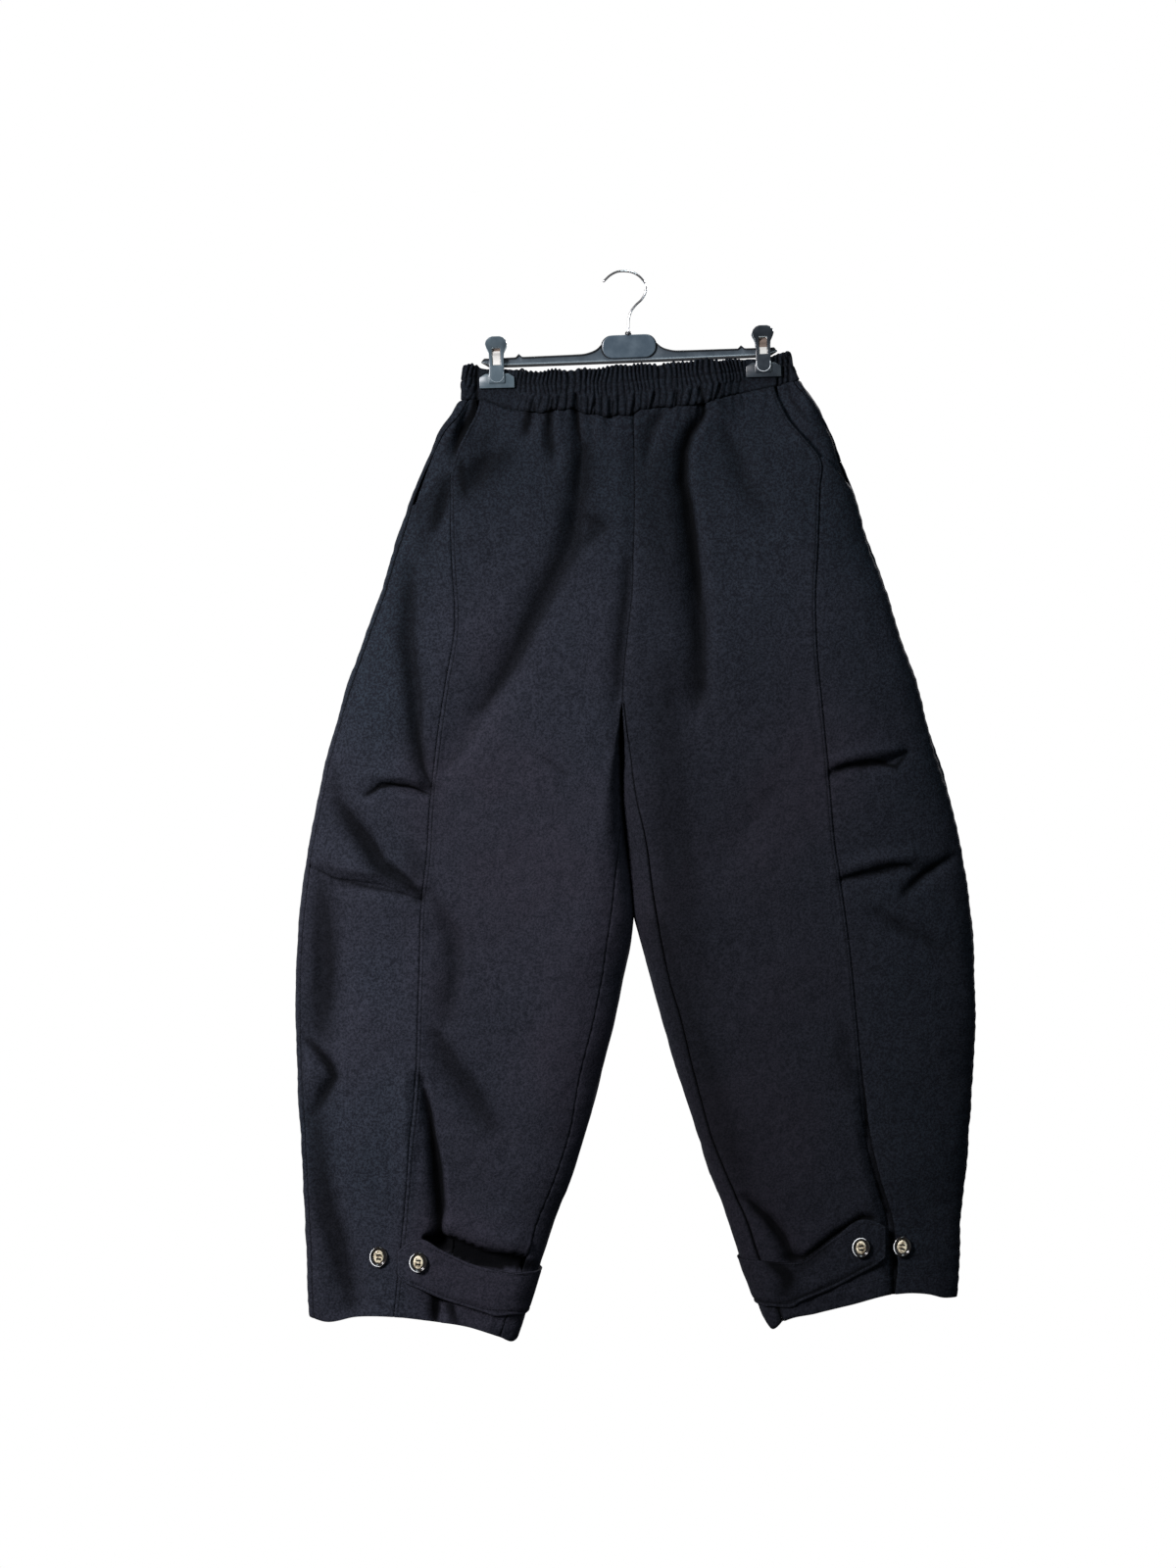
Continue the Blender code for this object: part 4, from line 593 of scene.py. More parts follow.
def leg_level(leg, nominal):
    """The section of a leg, or of its half of the body, with the places of its seams along it."""

    def move(x):
        return shift(leg, x, nominal)

    outer = line_x(leg["outline"], 1, nominal, move)
    seam = line_x(leg["outline"], 2, nominal, move)
    if nominal <= CROTCH:
        inner = curve(CENTRE_SEAM, nominal)
    else:
        inner = line_x(leg["inner"], 1, nominal, move)
        inseam = line_x(leg["inner"], 2, nominal, move)
    level = nominal + move(outer)
    round_outer = curve(BODY, level, 2)
    round_inner = max(curve(BODY, level, 3), SHARP)
    side = leg["side"]
    inner = inner + side * (GAP / 2 if nominal > CROTCH else -LAP)
    x0, x1 = sorted((outer, inner))
    rounds = (round_outer, round_inner) if side < 0 else (round_inner, round_outer)
    points, turn = section(x0, x1, *rounds, lambda x: nominal + move(x))
    place = along(points[:, :2])
    front_x = points[:turn, 0]

    def on_front(x):
        return np.interp(x, front_x, place[:turn])

    def on_rear(x):
        return np.interp(-x, -points[turn - 1:, 0], place[turn - 1:])

    corner = inner + side * round_inner
    inset = leg["outseam_inset"] + WAIST_INSET * (1.0 - smoothstep((nominal - WAIST) / 55.0))
    marks = {
        "seam": on_front(seam),
        "outseam": on_front(outer - side * inset),
        "inseam": on_front(inseam) if nominal > CROTCH else on_front(corner),
        "corner": on_rear(corner),
        "edge": on_front(inner),
        "round": place[-1],
    }
    return points, place, marks


def sample(points, place, wanted):
    total = place[-1]
    inside = np.mod(wanted, total)
    return np.stack([np.interp(inside, place, points[:, k]) for k in range(4)], 1)


def spread(start, end, count, crowd=1.0):
    """Places from start to end. A power over 1 crowds them at the start, a negative one at the end."""
    t = np.linspace(0.0, 1.0, count + 1)
    t = t ** crowd if crowd > 0 else 1.0 - (1.0 - t) ** -crowd
    return start + (end - start) * t


def unit(vectors):
    return vectors / np.maximum(np.linalg.norm(vectors, axis=-1, keepdims=True), 1e-9)


def grid_normals(points):
    return unit(np.cross(np.gradient(points, axis=0), np.gradient(points, axis=1)))


def on_leg(leg, drop, x=None, reach=None):
    """A place on a leg with no folds, and the way out of the cloth there.

    It is given by its drop and its x on the front, or its reach round the inner edge to the back."""
    nominal = drop
    for _ in range(5):
        points, place, marks = leg_level(leg, nominal)
        if reach is None:
            turn = (len(points) + 1) // 2
            at = np.interp(x, points[:turn, 0], place[:turn])
        else:
            at = marks["edge"] - leg["side"] * reach
        before, here, after = sample(points, place, np.array([at - 1.5, at, at + 1.5]))
        nominal += drop - here[2]
    way = after - before
    normal = np.array([way[1], -way[0], 0.0]) / np.hypot(way[0], way[1])
    return np.array([here[0], here[1], -here[2]]), normal


def formed(rows):
    """World places in millimetres of sampled rows of x, y, drop and fullness, with the folds."""
    x, y, drop, full = np.moveaxis(rows, -1, 0)
    weight = smoothstep(full * 1.15)
    room = np.maximum(np.abs(y) - TROUGH_CLEAR, 0.0)
    forward = np.maximum(fold_rise(FRONT_FOLDS, x, drop) * weight, -room)
    backward = np.maximum(fold_rise(BACK_FOLDS, x, drop) * weight, -room)
    moved = np.where(y <= 0.0, y - forward, y + backward)
    return np.stack([x, moved, -drop], -1)


def waves(seed, count, shortest, longest):
    """Seeded plane waves of mixed lengths, as rows of two wave numbers and a phase."""
    draw = np.random.default_rng(seed)
    length = shortest * (longest / shortest) ** draw.random(count)
    angle = draw.random(count) * math.pi
    phase = draw.random(count) * 2.0 * math.pi
    return np.stack([np.cos(angle) / length, np.sin(angle) / length, phase], 1)


def swell(rows, x, drop):
    """Sum of the waves, about -1 to 1."""
    total = np.zeros(np.broadcast(x, drop).shape)
    for kx, kz, phase in rows:
        total = total + np.sin(2.0 * math.pi * (kx * x + kz * drop) + phase)
    return total / math.sqrt(len(rows))


BROAD = waves(11, 9, 70.0, 190.0)
FINE = waves(12, 14, 18.0, 60.0)
PUCKER = waves(13, 5, 60.0, 160.0)


def gathered(x, below, seed, spread_x, longest):
    """Small ridges that run down from the waist seam and fade out."""
    draw = np.random.default_rng(seed)
    low, high = spread_x
    places = np.arange(low, high, GATHER_PITCH)
    rise = np.zeros(np.broadcast(x, below).shape)
    for middle in places:
        middle = middle + draw.normal() * 1.2
        reach = 10.0 + longest * draw.random() ** 2.2
        wide = 1.7 + 1.3 * draw.random()
        high_one = (0.5 + 0.9 * draw.random()) * (1.0 if draw.random() < 0.8 else 1.7)
        slant = draw.normal() * 0.10
        fade = np.clip(1.0 - below / reach, 0.0, 1.0) ** 0.8
        away = (x - middle - slant * below) / (wide * (1.0 + below / 60.0))
        rise = rise + high_one * fade * np.exp(-away ** 2)
    return rise


def crease_depth(creases, x, drop):
    """Narrow sharp creases along a route: depth, half width, route."""
    return fold_rise([(depth, wide, wide, route, 0.0) for depth, wide, route in creases], x, drop)


def seam_relief(away, stitched, drop):
    """Relief beside a seam, by how far a place lies from it. A stitched side has the allowance under it."""
    valley = -0.8 * bell(away, 1.0)
    pucker = 0.35 * np.sin(drop * 2.0 * math.pi / 13.0 + 2.0 * swell(PUCKER, away, drop))
    relief = valley + pucker * bell(away, 11.0) * smoothstep(away / 2.0)
    if stitched:
        relief += 0.75 * smoothstep(away / 1.4) * (1.0 - smoothstep((away - 5.0) / 3.5))
        relief -= 0.55 * bell(away - STITCH_IN, 0.75)
    return relief


def hem_relief(leg, x, drop):
    """The turned-up hem is a little proud and its row of stitches draws the cloth in."""
    up = curve(leg["hem"], x) - drop
    proud = 0.45 * (1.0 - smoothstep((up - HEM_DEEP) / 2.5))
    row = -0.6 * bell(up - HEM_DEEP, 1.0)
    pull = 0.22 * np.sin(x * 2.0 * math.pi / 17.0 + drop / 9.0 + 1.4 * np.sin(x / 21.0))
    pull = pull * bell(up - HEM_DEEP, 12.0)
    edge = -0.5 * bell(up, 1.2)
    return proud + row + pull + edge


def levels_between(first, last, steps):
    """Rising levels whose spacing changes: steps are rows of a level and the spacing from there on."""
    made = [first]
    while made[-1] < last:
        step = [gap for start, gap in steps if made[-1] >= start - 0.001][-1]
        made.append(made[-1] + step)
    made[-1] = last
    if first < CROTCH < last:
        made.append(CROTCH)
    return sorted(set(made))


def crowded(start, end, count, at_start, at_end):
    """Places from start to end, set close at the edges asked for."""
    low = start + (EDGE_COLUMNS if at_start else np.zeros(1))
    high = end - (EDGE_COLUMNS[::-1] if at_end else np.zeros(1))
    return np.concatenate([low, np.linspace(low[-1], high[0], count + 2)[1:-1], high])


def panel_rows(leg, levels, parts):
    """Sampled rows over a panel, with a ghost column past each side.

    parts are rows of SPANS. Also returned: how far each place lies in from the panel's first and from
    its last edge."""
    rows = []
    first_in = []
    last_in = []
    for nominal in levels:
        points, place, marks = leg_level(leg, nominal)
        runs = []
        for k, (start, end, rounds, *columns) in enumerate(parts):
            run = crowded(marks[start], marks[end] + rounds * marks["round"], *columns)
            runs.append(run if k == 0 else run[1:])
        wanted = np.concatenate(runs)
        wanted = np.concatenate([[wanted[0] - GHOST], wanted, [wanted[-1] + GHOST]])
        rows.append(sample(points, place, wanted))
        first_in.append(wanted - wanted[1])
        last_in.append(wanted[-2] - wanted)
    return np.array(rows), np.array(first_in), np.array(last_in)


def straighten(points, rows, column, ghost, inward):
    """Sets the columns past an edge in line with the cloth before it, where the section turns sharply."""
    step = points[rows, column] - points[rows, column + inward]
    step = step / np.maximum(np.linalg.norm(step, axis=-1, keepdims=True), 1e-6)
    for k, other in enumerate(ghost):
        points[rows, other] = points[rows, column] + step * GHOST * (k + 1)


def linked(name, data):
    made = bpy.data.objects.new(name, data)
    bpy.context.collection.objects.link(made)
    return made


def plain_mesh(name, points, faces, look, uv=None, smooth=True, shade=None):
    """A piece from points in millimetres, with its own flat coordinates in metres, and the painted light
    and shade of each point."""
    used = np.unique(np.asarray([k for face in faces for k in face]))
    renumber = np.zeros(len(points), int)
    renumber[used] = np.arange(len(used))
    mesh = bpy.data.meshes.new(name)
    corners = [tuple(int(renumber[k]) for k in face) for face in faces]
    mesh.from_pydata((points[used] * MM).tolist(), [], corners)
    if shade is not None:
        painted_shading = mesh.attributes.new("painted_shading", "FLOAT", "POINT")
        painted_shading.data.foreach_set("value", shade[used].astype(np.float32))
    if uv is not None:
        corners = np.empty(len(mesh.loops), np.int32)
        mesh.loops.foreach_get("vertex_index", corners)
        layer = mesh.uv_layers.new(name="cloth")
        layer.data.foreach_set("uv", (uv[used] * MM)[corners].ravel().astype(np.float32))
    mesh.materials.append(look)
    if smooth:
        mesh.shade_smooth()
    return linked(name, mesh)


def grid_faces(rows, columns, keep=None):
    i, j = np.meshgrid(np.arange(rows - 1), np.arange(columns - 1), indexing="ij")
    a = i * columns + j
    quads = np.stack([a, a + columns, a + columns + 1, a + 1], -1)
    return quads.reshape(-1, 4) if keep is None else quads[keep]


def cloth_layer(made, thick):
    """Gives a sheet its thickness, inwards."""
    shell = made.modifiers.new("layer", "SOLIDIFY")
    shell.thickness = thick * MM
    shell.offset = -1.0
    shell.use_rim = True
    return made


def tab_trough(leg, x, drop):
    """How far the leg's cloth tucks in behind the top edge of its hem tab."""
    xs, tops, _ = np.array(sorted(TABS[leg["name"]]), float).T
    above = np.interp(x, xs, tops) - drop
    if leg["side"] > 0:
        inside = smoothstep((xs[-1] - 4.0 - x) / 14.0) * smoothstep((x - xs[0] + 30.0) / 20.0)
        reach, fade, deep, stand = 3.0, 5.0, 4.0, 1.0
    else:
        reach = np.interp(x, *zip(*TUCK_REACH))
        inside = smoothstep(reach / 5.0)
        fade, deep, stand = 6.0, 8.0, 2.5
    shape = smoothstep((above + 4.0) / 4.0) * (1.0 - smoothstep((above - reach) / fade))
    puff = bell(above - reach - fade - 9.0, 11.0)
    return inside * (-deep * shape + stand * puff)


def darkness(hollows, x, drop):
    """Strength of the strongest painted shade along the routes at each place."""
    dark = np.zeros(np.broadcast(x, drop).shape)
    for strength, first, last, route, *lean in hollows:
        one = fold_rise([(1.5, first, last, route, *(lean or [FOLD_LEAN]))], x, drop)
        dark = np.maximum(dark, strength * np.minimum(one, 1.0))
    return dark


def painted_light(leg, x, drop):
    """Painted light: the share of the full colour at each place, for how the light falls on it. The right
    leg is painted darker, more so down to its hem. The left leg is painted lightest on the lower part of
    its side panel."""
    if leg["side"] < 0:
        lit = smoothstep((-202.0 - x) / 12.0) * smoothstep((x + 314.0) / 16.0)
        return np.interp(drop, *LEFT_PAINTED_LIGHT) * (1.0 + 0.22 * (lit * smoothstep((drop - 670.0) / 60.0)))
    return np.interp(drop, *RIGHT_PAINTED_LIGHT)


def painted_shade_of(leg, rows):
    """Painted shade, 0 to 1: how dark the cloth is painted where it lies deep in a fold or tucked in behind
    a hem tab, where little light would come in.
    """
    x, y, drop, full = np.moveaxis(rows, -1, 0)
    weight = smoothstep(full * 1.15)
    front = y <= 0.0
    rear = smoothstep((-fold_rise(BACK_FOLDS, x, drop) - 2.0) / 7.0) * 0.7
    tucked = smoothstep((-tab_trough(leg, x, drop) - 0.5) / 3.0)
    return np.where(front, np.maximum(darkness(PAINTED_SHADES, x, drop), tucked), rear) * weight


def meet(leg, points):
    """Brings the inner edges of the legs together under the crotch, on a line that winds a little
    front to rear, so that no light passes between them."""
    x, y, drop = points[..., 0], points[..., 1], -points[..., 2]
    side = leg["side"]
    middle = (curve(LEFT_INNER, drop) + curve(RIGHT_INNER, drop)) / 2.0
    here = smoothstep((drop - CROTCH) / 10.0) * (1.0 - smoothstep((drop - 672.0) / 24.0))
    near = 1.0 - smoothstep((np.abs(y) - 8.0) / 6.0)
    wound = middle + 0.9 * np.sin(math.pi * np.clip(y / 8.0, -1.0, 1.0)) * here
    pushed = x - side * 1.0 * near * here
    limit = wound + side * 0.1
    held = np.maximum(pushed, limit) if side > 0 else np.minimum(pushed, limit)
    points[..., 0] = np.where((here > 0.0) & (np.abs(x - middle) < 9.0), held, x)
    return points


def below_band(x, drop):
    return np.maximum(drop - waist_seam(x), 0.0)


def panel_relief(leg, rows, panel):
    """Everything finer than the folds, as height over the folded cloth."""
    x, y, drop, _ = np.moveaxis(rows, -1, 0)
    front = y <= 0.0
    relief = 0.8 * swell(BROAD, x + 40.0 * front, drop) + 0.25 * swell(FINE, x, drop + 90.0 * front)
    relief = relief * (1.0 - np.exp(-np.maximum(drop - 150.0, 0.0) / 60.0))
    relief += hem_relief(leg, x, drop)
    below = below_band(x, drop)
    if panel in ("middle", "facing"):
        relief += gathered(x, below, 21 + leg["side"], (-170.0, 180.0), 62.0)
    if panel == "back":
        near = drop < 240.0
        wide = gathered(x, below, 31, (-190.0, 205.0), 70.0)
        relief += np.where(near & ~front, wide, 0.0)
    relief -= 1.3 * bell(below, 1.6)
    if panel == "side":
        relief += crease_depth(CREASES, x, drop)
    if panel in ("middle", "side"):
        relief += tab_trough(leg, x, drop)
    return relief


def above_crotch(points, panel, side, crotch):
    """Sets the columns past a panel's edge straight where the two halves meet in a sharp corner, above
    the crotch. Tells which faces stay: the back panel turns on to the front only below it."""
    columns = points.shape[1]
    above = slice(0, crotch)
    if panel == "middle" and side < 0:
        straighten(points, above, columns - 2, [columns - 1], -1)
    elif panel == "middle":
        straighten(points, above, 1, [0], 1)
    if panel != "back":
        return None
    wrap = len(EDGE_COLUMNS) + WRAP_COLUMNS
    keep = np.ones((len(points) - 1, columns - 3), bool)
    if side < 0:
        straighten(points, above, wrap + 1, range(wrap, -1, -1), 1)
        keep[:crotch, :wrap] = False
    else:
        straighten(points, above, columns - 2 - wrap, range(columns - 1 - wrap, columns), -1)
        keep[:crotch, -wrap:] = False
    return keep


def sewn(panel, side, ways_in, drop, relief, dark):
    """Adds the seams to a panel's relief, and their painted shade to how dark it is painted. The right
    leg's
    seams lie deeper: the cloth rolls in along its side seam above the hem, and along its inseam."""
    first, last = ways_in if side < 0 else ways_in[::-1]
    right = side > 0
    if panel == "middle":
        seam_side, inner_side = first, last
        relief += seam_relief(seam_side, True, drop)
        relief += seam_relief(inner_side, False, drop)
    elif panel == "side":
        seam_side, outer_side = last, first
        relief += seam_relief(seam_side, False, drop) + seam_relief(outer_side, False, drop)
    else:
        inner_side, outer_side = first, last
        relief += seam_relief(inner_side, False, drop) * smoothstep((drop - CROTCH) / 8.0)
        relief += seam_relief(outer_side, False, drop)
    if panel != "back":
        width = np.interp(drop, *ROLLED_SEAM) if right else SEAM_SHADE
        strength = np.interp(drop, (800, 890), (0.6, 1.0)) if right else 0.45
        dark = np.maximum(dark, strength * bell(seam_side, width))
        if panel == "middle":
            dark = np.maximum(dark, 0.45 * bell(seam_side - STITCH_IN, 0.7))
        if right:
            relief -= 3.0 * smoothstep((drop - 850.0) / 80.0) * bell(seam_side, width * 0.8)
    if panel != "side":
        width = np.interp(drop, *ROLLED_INSEAM) if right else SEAM_SHADE
        on_seam = (drop > CROTCH) | (panel == "middle")
        dark = np.maximum(dark, (1.0 if right else 0.7) * bell(inner_side, width) * on_seam)
        if right:
            relief -= 1.6 * smoothstep((drop - 560.0) / 80.0) * bell(inner_side, width)
    if panel != "middle":
        strength = 0.3 if right else np.interp(drop, (215, 240, 440, 500), (0.3, 0.95, 0.95, 0.4))
        dark = np.maximum(dark, strength * bell(outer_side, 1.3))
    return relief, dark


def leg_panel(leg, panel, look):
    """One panel of a leg as a sheet."""
    side = leg["side"]
    levels = levels_between(leg["pocket"]["mouth"] if panel == "side" else WAIST, HEM, PANEL_LEVELS[panel])
    rows, first_in, last_in = panel_rows(leg, levels, SPANS[panel, leg["name"]])
    points = formed(rows)
    keep = above_crotch(points, panel, side, levels.index(CROTCH))
    normals = grid_normals(points)
    normals[0, :, 2] = 0.0
    normals = unit(normals)
    relief = panel_relief(leg, rows, panel)
    drop = rows[..., 2]
    ways_in = (np.maximum(first_in, 0.0), np.maximum(last_in, 0.0))
    # dark is painted shade: in folds, beside seams and under the waistband, scaled by the painted light of
    # each place
    relief, dark = sewn(panel, side, ways_in, drop, relief, painted_shade_of(leg, rows))
    dark = np.maximum(dark, 0.35 * bell(below_band(rows[..., 0], drop), 2.0))
    dark = 1.0 - (1.0 - dark) * painted_light(leg, rows[..., 0], drop)
    # Nothing may stand out where the legs, or the two halves of the seat, lie against each other.
    facing = np.abs(rows[..., 3]) < 0.35
    relief = np.where(facing & (np.abs(rows[..., 0]) < 60.0), np.minimum(relief, 0.0), relief)
    points = points + normals * relief[..., None]
    if panel == "back":
        points = meet(leg, points)
    points = points[:, 1:-1]
    uv = np.stack([first_in[:, 1:-1], -drop[:, 1:-1]], -1)
    faces = grid_faces(points.shape[0], points.shape[1], keep)
    made = plain_mesh(f"{panel}_panel_{leg['name']}", points.reshape(-1, 3), faces.tolist(), look,
                      uv.reshape(-1, 2), shade=dark[:, 1:-1].ravel())
    return cloth_layer(made, CLOTH)


def pocket_facing(leg, look):
    """What shows in the pocket's mouth, from the side seam to under the middle panel."""
    mouth = leg["pocket"]["mouth"]
    levels = levels_between(WAIST, mouth + 30.0, ((0, 2.2),))
    rows = []
    for nominal in levels:
        points, place, marks = leg_level(leg, nominal)
        under = FACING_UNDER * smoothstep((nominal - WAIST) / 50.0) - 3.0
        if leg["side"] < 0:
            wanted = spread(marks["outseam"] + 0.6, marks["seam"] + under, 44)
        else:
            wanted = spread(marks["seam"] - under, marks["outseam"] - 0.6, 44)
        wanted = np.concatenate([wanted[:1] - GHOST, wanted, wanted[-1:] + GHOST])
        rows.append(sample(points, place, wanted))
    rows = np.array(rows)
    points = formed(rows)
    normals = grid_normals(points)
    x, drop = rows[..., 0], rows[..., 2]
    seam = curve(leg["outline"], drop, 2)
    beside = (x - seam) * leg["side"]
    tuck = POCKET_TUCK - 2.2 * smoothstep(beside / 16.0)
    lower = smoothstep((drop - mouth + 30.0) / 30.0)
    tuck = np.maximum(tuck, 0.8 + (POCKET_TUCK - 0.8) * lower)
    open_part = smoothstep((drop - 138.0) / 20.0) * (1.0 - smoothstep((drop - 182.0) / 24.0))
    gape = leg["pocket"]["gape"] * open_part * bell(beside - 5.0, 9.0)
    tuck = tuck + np.minimum(gape, np.maximum(np.abs(rows[..., 1]) - 5.0, 0.0))
    below = below_band(x, drop)
    relief = gathered(x, below, 41, (-200.0, 210.0), 40.0) - tuck + 0.4 * swell(BROAD, x, drop)
    points = (points + normals * relief[..., None])[:, 1:-1]
    faces = grid_faces(points.shape[0], points.shape[1])
    uv = np.stack([x, -drop], -1)[:, 1:-1]
    # Painted shade in the pocket's mouth, where the facing lies back behind the middle panel, scaled by the
    # painted light
    high_part = smoothstep((drop - 120.0) / 8.0) * (1.0 - smoothstep((drop - 184.0) / 24.0))
    dark = high_part * (1.0 - smoothstep((beside - 5.5) / 4.0))
    if leg["side"] > 0:
        dark = 0.6 * open_part * bell(beside, 1.6)
    dark = np.maximum(dark, 0.6 * darkness(PAINTED_SHADES[-1:], x, drop))
    dark = (1.0 - (1.0 - dark) * painted_light(leg, x, drop))[:, 1:-1]
    made = plain_mesh(f"facing_{leg['name']}", points.reshape(-1, 3), faces.tolist(), look,
                      uv.reshape(-1, 2), shade=dark.ravel())
    return cloth_layer(made, CLOTH)


def band_edge():
    """Top edges of the panels on the front and on the rear, as rising x and their drops."""
    edges = {True: [], False: []}
    for leg in LEGS.values():
        for here in leg_level(leg, WAIST)[0]:
            edges[here[1] <= 0.0].append(here)
    result = {}
    for front, places in edges.items():
        rows = np.array(sorted(places, key=lambda place: place[0]))
        result[front] = (rows[:, 0], rows[:, 2])
    return result


def band_ribs(h, wanted, strong, coarse):
    """The ribs at one height, a share h of the band's: how far they stand out and the painted shade between
    them, less a painted highlight on each crest, the upright ribs' humps and numbers, and how far the
    gathers have taken over."""
    warped = wanted + 1.9 * np.sin(wanted / 7.9) + 1.7 * np.sin(wanted / 17.3 + 2.0)
    warped = warped + (1.6 * np.sin(wanted / 23.0 + 1.0) + 0.5 * np.sin(wanted / 6.1)) * (h - 0.3)
    warped = warped + 0.8 * np.sin(wanted / 14.0 + 6.5 * h) + 0.55 * np.sin(wanted / 9.0 - 9.0 * h)
    free = 1.0 - smoothstep(h / BAND_ROW)
    phase = warped / GATHER_PITCH
    rib = np.floor(phase).astype(int) % RIBS
    part = phase - np.floor(phase)
    hump = np.abs(np.sin(math.pi * part)) ** (0.75 + 0.5 * free)
    lean = 11.0 + 7.0 * np.sin(wanted / 37.0 + 0.6)
    phase2 = (wanted + lean * (h - 0.5) + 1.7 * np.sin(wanted / 11.0)) / 7.9
    rib2 = np.floor(phase2).astype(int) % RIBS
    part2 = phase2 - np.floor(phase2)
    hump2 = np.abs(np.sin(math.pi * part2)) ** 0.75
    lower = smoothstep((h - 0.50) / 0.16)
    pinch = math.exp(-((h - BAND_ROW) / 0.03) ** 2)
    upper = hump * (2.5 * strong[rib] * (0.8 + 0.5 * free))
    lift = upper * (1.0 - lower) + (3.3 * hump2 * coarse[rib2] + 0.5 * hump) * lower
    lift = lift - 1.1 * pinch * (0.4 + 0.6 * hump) + 0.7 * lower
    dark = (1.0 - hump) ** 1.3 * (1.0 - lower) + (1.0 - hump2) ** 1.5 * lower * 0.8
    dark = dark * (0.65 + 0.5 * coarse[rib])
    crest_glint = bell(part - 0.40, 0.13) * (0.2 + 0.6 * coarse[rib]) * (1.0 - lower)
    crest_glint = crest_glint + bell(part2 - 0.40, 0.10) * (0.1 + 0.5 * coarse[rib2]) * lower
    dark = dark - 1.1 * crest_glint
    return lift, dark, hump, rib, lower


def waistband(look):
    """The elastic band: ribs that its row of stitches pinches, and slanting gathers under them."""
    edges = band_edge()
    heights = np.linspace(0.0, 1.0, 33)
    rings = [(h, "out") for h in heights] + [(1.012, "low"), (1.0, "in")]
    rings += [(h, "in") for h in (0.75, 0.5, 0.25, 0.0)] + [(-0.02, "top")]
    draw = np.random.default_rng(5)
    count = BAND_POINTS
    strong = 0.6 + 0.55 * draw.random(RIBS)
    tall = draw.normal(size=RIBS) * 0.55
    coarse = 0.35 + 0.9 * draw.random(RIBS)
    grid = []
    shades = []
    for height, kind in rings:
        h = min(max(height, 0.0), 1.0)
        shares, *ends = zip(*BAND_ENDS)
        x0, x1 = (np.interp(h, shares, end) for end in ends)

        def drop_at(x, share=h, front=True):
            edge_x, edge_drop = edges[front]
            low = np.interp(x, edge_x, edge_drop) + 0.6
            return curve(WAIST_TOP, x) * (1.0 - share) + low * share

        round0, round1 = half_depth(np.array([x0, x1]), drop_at(np.array([x0, x1])))
        points, _ = section(x0, x1, round0, round1, drop_at)
        place = along(points[:, :2])
        wanted = np.linspace(0.0, place[-1], count, endpoint=False)
        ahead = sample(points, place, wanted + 0.8)
        behind = sample(points, place, wanted - 0.8)
        row = sample(points, place, wanted)
        rear = row[:, 1] > 0.0
        row[:, 2] = np.where(rear, drop_at(row[:, 0], h, False), drop_at(row[:, 0]))
        way = ahead[:, :2] - behind[:, :2]
        normal = np.stack([way[:, 1], -way[:, 0]], 1) / np.linalg.norm(way, axis=1)[:, None]
        x = row[:, 0]
        # The ribs run straight down, so they are counted on one measure at every height.
        wanted = np.arange(count) * (BAND_ROUND / count)
        lift, dark, hump, rib, lower = band_ribs(h, wanted, strong, coarse)
        flat = np.ones(count)
        for head_x, _, _ in CLIPS.values():
            away = np.abs(x - head_x - 1.0) - JAW_HALF_WIDTH
            flat = np.minimum(flat, smoothstep((away + 1.0) / 5.0))
        calm = 1.0 - 0.75 * (smoothstep((-100.0 - x) / 8.0) + smoothstep((x - 96.0) / 8.0)) * lower
        lift = lift * (0.1 + 0.9 * flat) * calm
        # dark is painted shade between the ribs, in the clefts and tucks and along the band's lower edge,
        # scaled by the band's painted light
        dark = dark * (0.3 + 0.7 * flat) * calm
        for seam_x, slant, begins, half in BAND_CLEFTS:
            away = np.abs(x - seam_x - slant * (1.0 - h))
            cleft = bell(away, half) * smoothstep((h - begins) / 0.12) * ~rear
            lift = lift - 3.0 * cleft
            dark = np.maximum(dark, cleft * min(1.0, half / 2.4))
        for at, half in BAND_TUCKS:
            cleft = bell(x - at, half) * ~rear
            lift = lift - 2.4 * cleft
            dark = np.maximum(dark, cleft)
        lift = lift - 1.6 * smoothstep((h - 0.93) / 0.07) - 0.5 * (1.0 - smoothstep(h / 0.05))
        dark = np.maximum(dark, 0.7 * smoothstep((h - 0.95) / 0.05))
        dark = 1.0 - (1.0 - np.clip(dark, -1.2, 1.0)) * BAND_PAINTED_LIGHT
        if kind == "in":
            lift = np.full(count, -BAND) + 0.35 * hump
        elif kind in ("top", "low"):
            lift = 0.5 * lift - BAND / 2
        up = np.zeros(count)
        if h < 0.3:
            edge = 1.5 * (hump - 0.5) + 1.1 * tall[rib] * hump + 1.0 * np.sin(wanted / 13.0)
            edge = edge + 0.8 * np.sin(wanted / 5.3 + 1.0)
            up = edge * (1.0 - h / 0.3) * (0.25 + 0.75 * flat)
        grid.append(np.stack([x + normal[:, 0] * lift, row[:, 1] + normal[:, 1] * lift,
                              -row[:, 2] - (height - h) * 42.0 + up], 1))
        shades.append(dark)
    grid = np.array(grid)
    rows = len(rings)
    i, j = np.meshgrid(np.arange(rows), np.arange(count), indexing="ij")
    a, b = i * count + j, ((i + 1) % rows) * count + j
    c, d = ((i + 1) % rows) * count + (j + 1) % count, i * count + (j + 1) % count
    faces = np.stack([a, b, c, d], -1).reshape(-1, 4)
    return plain_mesh("waistband", grid.reshape(-1, 3), faces.tolist(), look,
                      shade=np.array(shades).ravel())


